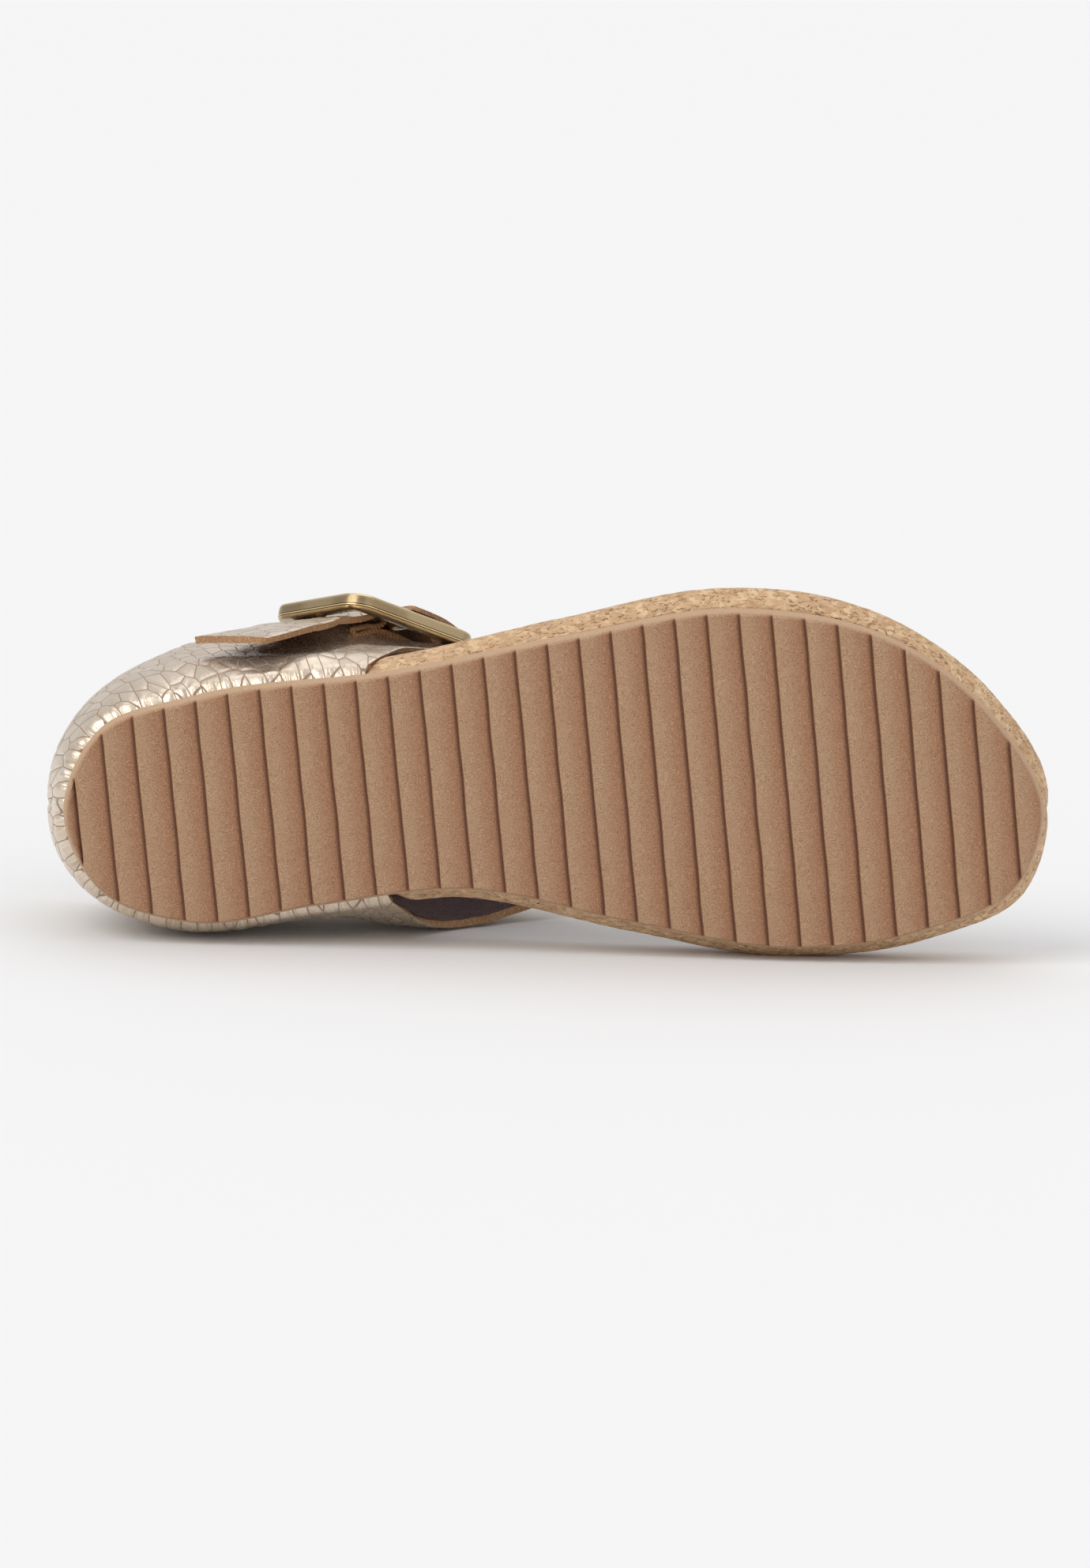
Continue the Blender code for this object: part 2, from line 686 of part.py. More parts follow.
def lay_on_inner_side(parts):
    """Pose of the shoe on its heel, waist and ball, inner side down, centred on its box."""
    points = np.array([vertex.co[:] for part in parts for vertex in part.data.vertices])
    heel = points[points[:, 0] < HEEL_ZONE_TO * MM]
    waist = points[(points[:, 0] > WAIST_ZONE_FROM * MM) & (points[:, 0] < WAIST_ZONE_TO * MM)]
    waist = waist[waist[:, 2] > WAIST_ZONE_ABOVE * MM]
    ball = points[points[:, 0] > BALL_ZONE_FROM * MM]
    down = np.array([0.0, 1.0, 0.0])
    for _ in range(LYING_ROUNDS):
        contacts = [zone[np.argmax(zone @ down)] for zone in (heel, ball, waist)]
        down = np.cross(contacts[1] - contacts[0], contacts[2] - contacts[0])
        down *= np.sign(down[1]) / np.linalg.norm(down)
    toe = np.array([1.0, 0.0, 0.0])
    toe -= down * (toe @ down)
    toe /= np.linalg.norm(toe)
    turn = np.array([toe, np.cross(-down, toe), -down])
    laid = points @ turn.T
    low, high = laid.min(axis=0), laid.max(axis=0)
    place = -np.array([(low[0] + high[0]) / 2, (low[1] + high[1]) / 2, low[2]])
    return Matrix.Translation(Vector(place)) @ Matrix(turn).to_4x4()


sandal = bpy.data.objects.new("sandal", None)
PARTS.objects.link(sandal)
pieces = [make_outsole(), make_midsole(), make_insole(), make_upper(), make_elastic(), make_buckle()]
sandal.matrix_world = lay_on_inner_side(pieces)
for piece in pieces:
    piece.parent = sandal
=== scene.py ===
"""Looks of a right-foot flatform sandal that lies on its inner side: every piece is drawn in the shoe's
own millimetres, x from heel to toe, y to the inner side, z up from the tread, and laid on the frame."""
import json
import math

import bmesh
import bpy
import numpy as np
from mathutils import Matrix, Vector, noise


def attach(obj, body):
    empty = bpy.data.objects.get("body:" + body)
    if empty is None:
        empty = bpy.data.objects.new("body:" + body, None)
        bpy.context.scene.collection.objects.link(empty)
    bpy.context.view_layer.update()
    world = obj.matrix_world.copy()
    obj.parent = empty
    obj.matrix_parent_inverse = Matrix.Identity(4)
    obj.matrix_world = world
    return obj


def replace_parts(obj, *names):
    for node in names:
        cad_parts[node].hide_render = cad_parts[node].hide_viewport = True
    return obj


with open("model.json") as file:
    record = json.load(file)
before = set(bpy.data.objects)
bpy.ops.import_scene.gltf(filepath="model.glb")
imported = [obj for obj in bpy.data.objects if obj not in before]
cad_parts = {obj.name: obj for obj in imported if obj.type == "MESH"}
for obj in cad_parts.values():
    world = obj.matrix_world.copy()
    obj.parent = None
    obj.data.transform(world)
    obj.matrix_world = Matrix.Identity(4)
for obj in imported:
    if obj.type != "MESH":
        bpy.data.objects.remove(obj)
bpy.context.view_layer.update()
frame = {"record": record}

# The outsole: a moulded sheet of tan foam rubber, its tread a row of skewed saw-tooth bars, its edge
# trimmed with a flare. It is cemented under the whole shoe. The two flat spots of its tread, under heel
# and ball, are the record's mounts, and they say how the shoe lies on the floor.
MM = 0.001
HEEL_SPOT = Vector((45.69, 4, 0))
BALL_SPOT = Vector((162.27, -4, 0))


def turn_of(forward, up):
    """Turn whose columns are forward, leftward and up."""
    up = up.normalized()
    forward = (forward - up * forward.dot(up)).normalized()
    return Matrix((forward, up.cross(forward), up)).transposed()


spots = {mount["name"]: mount for mount in frame["record"]["mounts"]}
heel_at = Vector(spots["tread_heel"]["pos_m"])
ball_at = Vector(spots["tread_ball"]["pos_m"])
drawn = turn_of(BALL_SPOT - HEEL_SPOT, Vector((0, 0, 1)))
lying = turn_of(ball_at - heel_at, -Vector(spots["tread_heel"]["axis"])) @ drawn.transposed()
SHOE = Matrix.Translation(heel_at - lying @ HEEL_SPOT * MM) @ lying.to_4x4() @ Matrix.Scale(MM, 4)


def eased(knots, values, at):
    """Cubic curve through rows of values at rising knots, held flat past both ends."""
    knots = np.asarray(knots, float)
    values = np.asarray(values, float)
    slopes = np.gradient(values, knots, axis=0)
    at = np.clip(np.asarray(at, float), knots[0], knots[-1])
    i = np.clip(np.searchsorted(knots, at, side="right") - 1, 0, len(knots) - 2)
    step = (knots[i + 1] - knots[i])[..., None]
    f = (at - knots[i])[..., None] / step
    start = (1 + 2 * f) * (1 - f) ** 2 * values[i] + f * (1 - f) ** 2 * step * slopes[i]
    end = f * f * (3 - 2 * f) * values[i + 1] + f * f * (f - 1) * step * slopes[i + 1]
    return start + end


def run_lengths(points):
    """How far along a line each of its points is."""
    return np.concatenate([[0], np.cumsum(np.linalg.norm(np.diff(points, axis=0), axis=1))])


def unit(rows):
    return rows / np.linalg.norm(rows, axis=1)[:, None]


CURVE_FINENESS = 20


def smooth_through(points, count, closed=False):
    """Evenly spaced points on a smooth curve through the given points."""
    points = np.array(points, float)
    if closed:
        points = np.vstack([points[-3:], points, points[:4]])
    knots = run_lengths(points)
    first, last = (knots[3], knots[-4]) if closed else (knots[0], knots[-1])
    dense = eased(knots, points, np.linspace(first, last, CURVE_FINENESS * count))
    lengths = run_lengths(dense)
    wanted = np.linspace(0, lengths[-1], count, endpoint=not closed)
    return np.column_stack([np.interp(wanted, lengths, dense[:, k]) for k in range(points.shape[1])])


SOLE_LENGTH = 252
# Columns: x, y, from the back of the heel along the outer side to the toe and back on the inner side.
OUTLINE = (
    (0, 5), (9, -16), (33, -24.5), (83, -31), (130, -40.5), (174, -47.3), (212, -40), (238, -20.5),
    (SOLE_LENGTH, 6), (246, 23.5), (222, 34.8), (186, 39.2), (147, 32.6), (102, 23.7), (64, 28), (31, 32.4),
    (9, 24.5),
)
OUTLINE_STEPS = 420
EDGE = smooth_through(OUTLINE, OUTLINE_STEPS, closed=True)
EDGE_ALONG = np.roll(EDGE, -1, axis=0) - np.roll(EDGE, 1, axis=0)
EDGE_OUT = unit(np.column_stack([EDGE_ALONG[:, 1], -EDGE_ALONG[:, 0]]))
TOE_SPRING = 4
TOE_SPRING_START = 178
TOE_SPRING_REACH = 1.3


def toe_lift(x):
    reach = np.clip((x - TOE_SPRING_START) / (SOLE_LENGTH - TOE_SPRING_START), 0, TOE_SPRING_REACH)
    return TOE_SPRING * reach ** 2


def spring_toe(bm):
    for vert in bm.verts:
        vert.co.z += toe_lift(vert.co.x)


add_to_scene = bpy.context.scene.collection.objects.link


def lay_down(name, bm, materials, sharp_deg=42):
    """Lay a drawn piece on the floor as an object of its own that rides on the shoe."""
    bmesh.ops.transform(bm, matrix=SHOE, verts=bm.verts)
    mesh = bpy.data.meshes.new(name)
    bm.to_mesh(mesh)
    bm.free()
    mesh.shade_smooth()
    mesh.set_sharp_from_angle(angle=math.radians(sharp_deg))
    for made in materials:
        mesh.materials.append(made)
    piece = bpy.data.objects.new(name, mesh)
    add_to_scene(piece)
    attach(piece, "root")
    return piece


def srgb(red, green, blue):
    """Linear colour of a swatch given in screen values."""
    return tuple(((value / 255 + 0.055) / 1.055) ** 2.4 for value in (red, green, blue)) + (1,)


def node(tree, kind, inputs=(), **settings):
    """A new shader node, whose inputs are values or other nodes' outputs."""
    made = tree.nodes.new("ShaderNode" + kind)
    for key, value in settings.items():
        setattr(made, key, value)
    for socket, value in dict(inputs).items():
        if isinstance(value, bpy.types.NodeSocket):
            tree.links.new(value, made.inputs[socket])
        else:
            made.inputs[socket].default_value = value
    return made


def mixed(tree, share, first, second):
    return node(tree, "Mix", {0: share, 6: first, 7: second}, data_type="RGBA").outputs[2]


def between(tree, value, low, high, to_low=0, to_high=1):
    """A value eased from one range to another."""
    ends = {"Value": value, "From Min": low, "From Max": high, "To Min": to_low, "To Max": to_high}
    return node(tree, "MapRange", ends, interpolation_type="SMOOTHSTEP").outputs["Result"]


def maths(tree, operation, first, second):
    return node(tree, "Math", {0: first, 1: second}, operation=operation).outputs[0]


def times(tree, first, second):
    return maths(tree, "MULTIPLY", first, second)


def here(tree):
    return node(tree, "TexCoord").outputs["Object"]


def mark(tree, name):
    """A value that the mesh carries at its points."""
    return node(tree, "Attribute", attribute_name=name).outputs["Fac"]


def clouds(tree, at, scale, detail):
    return node(tree, "TexNoise", {"Vector": at, "Scale": scale, "Detail": detail})


def cells(tree, at, scale, **settings):
    return node(tree, "TexVoronoi", {"Vector": at, "Scale": scale}, **settings)


def cell_edges(tree, at, scale, **settings):
    """Distance to the nearest edge of a cell pattern."""
    return cells(tree, at, scale, feature="DISTANCE_TO_EDGE", **settings).outputs["Distance"]


def chance(tree, pattern):
    """A cell pattern's random values, one set for each cell."""
    return node(tree, "SeparateColor", {0: pattern.outputs["Color"]})


def feed(shader, socket, value):
    shader.id_data.links.new(value, shader.inputs[socket])


def finish(name, roughness, metallic=0):
    """A new material, its node tree and its shader."""
    made = bpy.data.materials.new(name)
    made.use_nodes = True
    shader = made.node_tree.nodes["Principled BSDF"]
    shader.inputs["Roughness"].default_value = roughness
    shader.inputs["Metallic"].default_value = metallic
    return made, made.node_tree, shader


def raise_surface(tree, shader, height, distance_mm):
    made = node(tree, "Bump", {"Height": height, "Distance": distance_mm * MM})
    feed(shader, "Normal", made.outputs["Normal"])


# Grain and mottle of any surface, from fine noise and a broad one.
MOTTLE_SHARE = 0.06
grain_group = bpy.data.node_groups.new("grain_and_mottle", "ShaderNodeTree")
for socket, way in (("Scale", "INPUT"), ("Grain", "OUTPUT"), ("Mottle", "OUTPUT")):
    grain_group.interface.new_socket(socket, in_out=way, socket_type="NodeSocketFloat")
scale_in = grain_group.nodes.new("NodeGroupInput").outputs["Scale"]
spot_at = here(grain_group)
grain_out = grain_group.nodes.new("NodeGroupOutput")
fine_noise = clouds(grain_group, spot_at, scale_in, 4)
broad_scale = times(grain_group, scale_in, MOTTLE_SHARE)
broad_noise = clouds(grain_group, spot_at, broad_scale, 3)
for output, source in (("Grain", fine_noise), ("Mottle", broad_noise)):
    spread = between(grain_group, source.outputs["Fac"], 0.3, 0.7)
    grain_group.links.new(spread, grain_out.inputs[output])


def grain(tree, scale):
    """The grain and the mottle of a material, as two masks."""
    made = node(tree, "Group", node_tree=grain_group)
    made.inputs["Scale"].default_value = scale
    return made.outputs["Grain"], made.outputs["Mottle"]


RUBBER_PALE = srgb(177, 142, 110)
RUBBER_WARM = srgb(166, 118, 85)
RUBBER_PAINTED_SIDE_LIGHT = srgb(197, 164, 132)
RUBBER_PAINTED_GROOVE_SHADOW = srgb(98, 58, 38)
RUBBER_PORE = srgb(122, 86, 64)
RUBBER_DUST = srgb(200, 170, 142)


def foam_rubber():
    made, tree, shader = finish("foam_rubber", 0.8)
    fine, broad = grain(tree, 3400)
    at = here(tree)
    painted_shading = mark(tree, "painted_shading")
    pores = cells(tree, at, 1500)
    pore = between(tree, pores.outputs["Distance"], 0.10, 0.30, 1, 0)
    few = between(tree, chance(tree, pores).outputs[0], 0.5, 0.6)
    pore = times(tree, pore, few)
    # Painted shade: each bar's crest stays pale and its slope darkens towards the step.
    colour = mixed(tree, between(tree, painted_shading, 0, 0.42), RUBBER_PALE, RUBBER_WARM)
    colour = mixed(tree, times(tree, broad, 0.25), colour, RUBBER_WARM)
    colour = mixed(tree, between(tree, fine, 0.55, 1, 0, 0.45), colour, RUBBER_DUST)
    colour = mixed(tree, between(tree, fine, 0.45, 0, 0, 0.5), colour, RUBBER_PORE)
    colour = mixed(tree, times(tree, pore, 0.35), colour, RUBBER_PORE)
    # Painted shadow at the foot of each bar's step.
    colour = mixed(tree, between(tree, painted_shading, 0.35, 1, 0, 0.92), colour, RUBBER_PAINTED_GROOVE_SHADOW)
    # Painted light: the sidewall is lightened as if it faced the lamps.
    colour = mixed(tree, between(tree, painted_shading, -1, 0, 0.75, 0), colour, RUBBER_PAINTED_SIDE_LIGHT)
    feed(shader, "Base Color", colour)
    height = maths(tree, "SUBTRACT", times(tree, fine, 0.6), pore)
    raise_surface(tree, shader, height, 0.12)
    return made


OUTSOLE_THICK = 5.5
OUTSOLE_FLARE = 1.4
BAR_PITCH = 8.38
BAR_DEPTH = 1.2
BAR_COUNT = 30
BAR_FIRST_STEP = 2.12
BAR_SKEW = math.tan(math.radians(5.3))
# One bar from its step to the next. Columns: along the bar's pitch, depth, painted shading (towards 1 is
# darker).
BAR_PROFILE = (
    (0, BAR_DEPTH, 1), (0.16, 0.5, 0.75), (0.36, 0.14, 0), (0.7, 0.02, 0), (1.5, 0, 0.02),
    (2.6, 0.04, 0.08), (4.2, 0.28, 0.2), (5.8, 0.62, 0.32), (7, 0.90, 0.42), (7.6, 1.05, 0.58),
    (8.1, BAR_DEPTH, 0.9),
)
# The trimmed edge above the tread. Columns: out from the tread's outline, height.
OUTSOLE_SIDE = ((0.84, 2.2), (OUTSOLE_FLARE, OUTSOLE_THICK - 0.5), (OUTSOLE_FLARE - 0.3, OUTSOLE_THICK))
TREAD_ROUND = 0.2
CROSS_CUTS = np.arange(-45, 45, 4)
BAR_WANDER = 0.2
WANDER_SCALE = 0.09
TREAD_LUMPS = 0.05
LUMP_SCALE = 0.3
CUT_SLACK = 0.005
CUT_SNAP = 0.001


def open_edges(bm):
    return [edge for edge in bm.edges if edge.is_boundary]


def close_up(bm, rim):
    """Fill an open rim, or several, and turn all faces outwards."""
    bmesh.ops.holes_fill(bm, edges=rim, sides=0)
    bmesh.ops.recalc_face_normals(bm, faces=bm.faces)


def of_kind(items, kind):
    return [item for item in items if isinstance(item, kind)]


def extrude_sides(bm, edges, outwards, height_of):
    """Extrude edges of the sole's outline outwards and up, and return the new edges."""
    grown = bmesh.ops.extrude_edge_only(bm, edges=edges)["geom"]
    for vert in of_kind(grown, bmesh.types.BMVert):
        nearest = np.argmin(((EDGE - np.array(vert.co.xy)) ** 2).sum(axis=1))
        vert.co.xy += Vector(EDGE_OUT[nearest]) * outwards
        vert.co.z = height_of(vert.co)
    return of_kind(grown, bmesh.types.BMEdge)


def make_outsole():
    bm = bmesh.new()
    bm.faces.new([bm.verts.new((x, y, 0)) for x, y in EDGE])
    across_bars = Vector((1, -BAR_SKEW, 0))
    cuts = [(Vector((BAR_FIRST_STEP + i * BAR_PITCH + row[0], 0, 0)), across_bars)
            for i in range(BAR_COUNT) for row in BAR_PROFILE]
    cuts += [(Vector((0, y, 0)), Vector((0, 1, 0))) for y in CROSS_CUTS]
    for middle, normal in cuts:
        everything = bm.verts[:] + bm.edges[:] + bm.faces[:]
        bmesh.ops.bisect_plane(bm, geom=everything, dist=CUT_SNAP, plane_co=middle, plane_no=normal)
    # Painted shading at each point: shadow and shade painted into the bars, light painted on the sidewall
    # (-1).
    painted_shading = bm.verts.layers.float.new("painted_shading")
    places, depths, painted_shadings = np.array(BAR_PROFILE).T
    for vert in bm.verts:
        along = vert.co.x - vert.co.y * BAR_SKEW - BAR_FIRST_STEP + CUT_SLACK
        if 0 <= along < BAR_COUNT * BAR_PITCH:
            vert.co.z = np.interp(along % BAR_PITCH, places, depths)
            vert[painted_shading] = np.interp(along % BAR_PITCH, places, painted_shadings)
        wander = noise.noise(vert.co * WANDER_SCALE)
        vert.co.z += noise.noise(vert.co * LUMP_SCALE) * TREAD_LUMPS
        if not vert.is_boundary:
            vert.co.x += wander * BAR_WANDER
    side = open_edges(bm)
    side = extrude_sides(bm, side, TREAD_ROUND, lambda spot: spot.z + TREAD_ROUND)
    reached = TREAD_ROUND
    for outwards, height in OUTSOLE_SIDE:
        side = extrude_sides(bm, side, outwards - reached, lambda spot: height)
        reached = outwards
        for edge in side:
            for vert in edge.verts:
                # The sidewall takes -1: painted light.
                vert[painted_shading] = -1
    close_up(bm, side)
    spring_toe(bm)
    return lay_down("ribbed_outsole", bm, [foam_rubber()], sharp_deg=38)


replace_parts(make_outsole(), "outsole")

# The midsole: a platform of pressed cork granules, cut to shape with a rounded, flared wall. It is
# cemented on the outsole; under the heel the leather covers it.
CORK_TAN = srgb(203, 167, 128)
CORK_PALE = srgb(226, 195, 155)
CORK_DARK = srgb(170, 127, 90)
CORK_FLECK = srgb(74, 48, 32)
CHIP_SCALE = 620


def pressed_cork():
    made, tree, shader = finish("cork", 0.8)
    at = here(tree)
    fine, broad = grain(tree, 2600)
    bent = clouds(tree, at, 520, 3).outputs["Color"]
    bent = node(tree, "VectorMath", {0: bent, "Scale": 0.0022}, operation="SCALE").outputs[0]
    bent = node(tree, "VectorMath", {0: at, 1: bent}, operation="ADD").outputs[0]
    chips = cells(tree, bent, CHIP_SCALE)
    tone = chance(tree, chips)
    colour = mixed(tree, between(tree, tone.outputs[0], 0.3, 1, 0, 0.9), CORK_TAN, CORK_PALE)
    colour = mixed(tree, between(tree, tone.outputs[1], 0.6, 1, 0, 0.5), colour, CORK_DARK)
    streaks_at = node(tree, "Mapping", {"Vector": bent, "Scale": (0.35, 1, 1)}).outputs[0]
    streaks = clouds(tree, streaks_at, 1100, 5)
    streak = between(tree, streaks.outputs["Fac"], 0.48, 0.68, 0, 0.7)
    colour = mixed(tree, streak, colour, CORK_DARK)
    flecks = clouds(tree, streaks_at, 2200, 2)
    pit = between(tree, flecks.outputs["Fac"], 0.625, 0.705)
    pit = times(tree, pit, between(tree, broad, 0.2, 0.6))
    seam = between(tree, cell_edges(tree, bent, CHIP_SCALE), 0, 0.08, 1, 0)
    broken = between(tree, streaks.outputs["Fac"], 0.52, 0.64, 0, 0.55)
    pit = maths(tree, "MAXIMUM", pit, times(tree, seam, broken))
    colour = mixed(tree, times(tree, pit, 0.8), colour, CORK_FLECK)
    feed(shader, "Base Color", colour)
    height = maths(tree, "SUBTRACT", times(tree, fine, 0.3), pit)
    raise_surface(tree, shader, height, 0.3)
    return made


def table_row(table, at):
    """All columns of a table after the first, eased at values of the first column."""
    rows = np.array(table, float)
    return eased(rows[:, 0], rows[:, 1:], at)


def ramp(x, start, end):
    f = np.clip((x - start) / (end - start), 0, 1)
    return f * f * (3 - 2 * f)


def ring(offsets, height):
    """The sole's outline moved outwards, at one height."""
    flat = EDGE + EDGE_OUT * np.broadcast_to(offsets, len(EDGE))[:, None]
    return np.column_stack([flat, np.full(len(flat), height)])


def stack_rings(rings):
    """A closed solid: the first ring is a face, and each further ring is extruded from it."""
    bm = bmesh.new()
    face = bm.faces.new([bm.verts.new(point) for point in rings[0]])
    for below, points in zip(rings, rings[1:]):
        place = {tuple(np.float32(point)): above for point, above in zip(below, points)}
        grown = bmesh.ops.extrude_face_region(bm, geom=[face])["geom"]
        face = of_kind(grown, bmesh.types.BMFace)[0]
        for vert in face.verts:
            vert.co = place[tuple(np.float32(vert.co))]
    bmesh.ops.recalc_face_normals(bm, faces=bm.faces)
    return bm


# Columns: height, share of the full flare.
CORK_WALL = ((5.55, 0.30), (8.5, 0.75), (11, 1.00), (14.5, 1.00), (18, 0.80), (20, 0.35))
CORK_RINGS = 16
FLARE_OUTER = 5.4
FLARE_INNER = 4.4
FLARE_TOE = 2.4
FLARE_HEEL = 1.6
WRAPPED_SHARE = 0.20
WRAPPED_TO = 73
BARE_FROM = 83
INNER_WRAP_FORWARD = 7
CORK_LUMPS = 0.16
CORK_LUMP_SCALE = 0.45
# How much the outer side's flare is trimmed. Columns: x, depth.
CORK_TRIM = (
    (0, 1.6), (110, 1.6), (135, 0.8), (160, 0.2), (175, 0), (190, 0.1), (205, 1), (232, 1.6), (252, 1.2),
)


def make_midsole():
    sideways = np.where(EDGE_OUT[:, 1] < 0, FLARE_OUTER, FLARE_INNER) * abs(EDGE_OUT[:, 1])
    endways = np.where(EDGE_OUT[:, 0] > 0, FLARE_TOE, FLARE_HEEL) * abs(EDGE_OUT[:, 0])
    further = np.where(EDGE[:, 1] > 0, INNER_WRAP_FORWARD, 0)
    bare = ramp(EDGE[:, 0] - further, WRAPPED_TO, BARE_FROM)
    trim = table_row(CORK_TRIM, EDGE[:, 0])[:, 0] * np.maximum(-EDGE_OUT[:, 1], 0)
    flare = (sideways + endways - trim) * (WRAPPED_SHARE + (1 - WRAPPED_SHARE) * bare)
    rings = []
    for height in np.linspace(CORK_WALL[0][0], CORK_WALL[-1][0], CORK_RINGS):
        share = table_row(CORK_WALL, height)[0]
        rings.append(ring(flare * share, height))
    bm = stack_rings(rings)
    for vert in bm.verts:
        vert.co += vert.normal * CORK_LUMPS * noise.noise(vert.co * CORK_LUMP_SCALE)
    spring_toe(bm)
    return lay_down("cork_midsole", bm, [pressed_cork()], sharp_deg=50)


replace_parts(make_midsole(), "midsole")

# The footbed: a padded sock of soft lining leather over thin foam, raised round the heel and under the
# arch. It is cemented on the cork and covers it from edge to edge.
SOCK_TAN = srgb(150, 118, 98)
SOCK_WORN = srgb(137, 106, 88)
SOCK_DARK = srgb(112, 86, 72)
INSOLE_LOW = 20.05
INSOLE_HIGH = 23.3
INSOLE_ROUND = 0.8
ROUND_DOWN = 0.5 * INSOLE_ROUND
ROUND_OUT = 0.3 * INSOLE_ROUND
WELD = 0.01
INSOLE_MARGIN = 1.6
INSOLE_HEEL_MARGIN = -1
HEEL_MARGIN_TO = 55
MARGIN_FROM = 88
INSOLE_STEPS_ACROSS = 44
MIDDLE_INSET = 17
SEAM_INSET = 2.6
SEAM_HALF = 0.5
SEAM_DEPTH = 0.3
HEEL_CUP = 2.5
CUP_RIM = 12
CUP_FULL = 40
CUP_FROM = 110
ARCH_RISE = 4
ARCH_X = 96
ARCH_REACH = 30
ARCH_FROM_Y = -8
ARCH_FULL_Y = 22
ARCH_MIDDLE_SHARE = 0.35


def footbed_rise(x, y, inset):
    """Height of the footbed above its flat: the heel's cup and the arch support."""
    near_rim = 1 - np.minimum(inset / CUP_RIM, 1)
    cup = HEEL_CUP * (1 - ramp(x, CUP_FULL, CUP_FROM)) * near_rim ** 2
    arch = ARCH_RISE * np.exp(-((x - ARCH_X) / ARCH_REACH) ** 2) * ramp(y, ARCH_FROM_Y, ARCH_FULL_Y)
    return cup + arch * (1 - (1 - ARCH_MIDDLE_SHARE) * np.minimum(inset / MIDDLE_INSET, 1))


def sock_lining():
    made, tree, shader = finish("sock_lining", 0.62)
    fine, broad = grain(tree, 1500)
    crack = between(tree, cell_edges(tree, here(tree), 1300), 0, 0.12, 1, 0)
    colour = mixed(tree, broad, SOCK_WORN, SOCK_TAN)
    colour = mixed(tree, times(tree, crack, 0.35), colour, SOCK_DARK)
    feed(shader, "Base Color", colour)
    feed(shader, "Roughness", between(tree, fine, 0, 1, 0.52, 0.72))
    raise_surface(tree, shader, maths(tree, "SUBTRACT", times(tree, fine, 0.5), crack), 0.1)
    return made


def grid_spots(bm, along, across):
    """A flat grid's vertices, each with its row and its column."""
    made = bmesh.ops.create_grid(bm, x_segments=along, y_segments=across, size=0.5)["verts"]
    return {vert: (round((vert.co.x + 0.5) * along), round((vert.co.y + 0.5) * across)) for vert in made}


def make_insole():
    forward = ramp(EDGE[:, 0], HEEL_MARGIN_TO, MARGIN_FROM)
    margin = INSOLE_HEEL_MARGIN + (INSOLE_MARGIN - INSOLE_HEEL_MARGIN) * forward
    rim = ring(-margin, INSOLE_HIGH)[:, :2]
    half = OUTLINE_STEPS // 2
    outer, inner = rim[:half + 1], rim[-np.arange(half + 1)]
    share = (1 - np.cos(np.linspace(0, math.pi, INSOLE_STEPS_ACROSS + 1))) / 2
    flat = outer[:, None, :] + (inner - outer)[:, None, :] * share[None, :, None]
    inset = np.sqrt(((flat[:, :, None, :] - rim[None, None]) ** 2).sum(axis=-1)).min(axis=-1)
    z = INSOLE_HIGH + footbed_rise(flat[..., 0], flat[..., 1], inset)
    z = z - ROUND_DOWN * np.exp(-inset / INSOLE_ROUND)
    z = z - SEAM_DEPTH * np.exp(-((inset - SEAM_INSET) / SEAM_HALF) ** 2)
    bm = bmesh.new()
    for vert, spot in grid_spots(bm, half, INSOLE_STEPS_ACROSS).items():
        vert.co = (*flat[spot], z[spot])
    bmesh.ops.remove_doubles(bm, verts=bm.verts, dist=WELD)
    side = open_edges(bm)
    side = extrude_sides(bm, side, ROUND_OUT, lambda spot: spot.z - ROUND_DOWN)
    side = extrude_sides(bm, side, 0, lambda spot: INSOLE_LOW)
    close_up(bm, side)
    spring_toe(bm)
    return lay_down("footbed", bm, [sock_lining()])


footbed = make_insole()
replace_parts(footbed, "insole")

# Counter, quarters and forward branches: one wall of gold foil leather embossed with reptile scales,
# lined with dark suede and left raw at its cut edges. It is lasted round the heel and tucked in between
# outsole and cork; a seam closes it at the back.
FOIL_GOLD = srgb(229, 215, 198)
FOIL_WARM = srgb(205, 185, 160)
FOIL_GROOVE = srgb(128, 98, 72)
LINING_MAUVE = srgb(112, 92, 90)
LINING_DARK = srgb(84, 66, 64)
RAW_TAN = srgb(213, 170, 128)
RAW_DARK = srgb(166, 124, 88)
THREAD_TAN = srgb(168, 132, 92)
GROOVE_WIDTH = 0.06
PILLOW_WIDTH = 0.22
SCALE_CHANCE = 0.85
GROOVE_DEPTH = 0.24
LEATHER_SHARP_DEG = 48


def scales(tree, at, **settings):
    """The embossed pattern, the same in the leather's colour and in its shape."""
    made = cells(tree, at, 1, voronoi_dimensions="2D", **settings)
    made.inputs["Randomness"].default_value = SCALE_CHANCE
    return made


def scale_edges(tree, at):
    return scales(tree, at, feature="DISTANCE_TO_EDGE").outputs["Distance"]


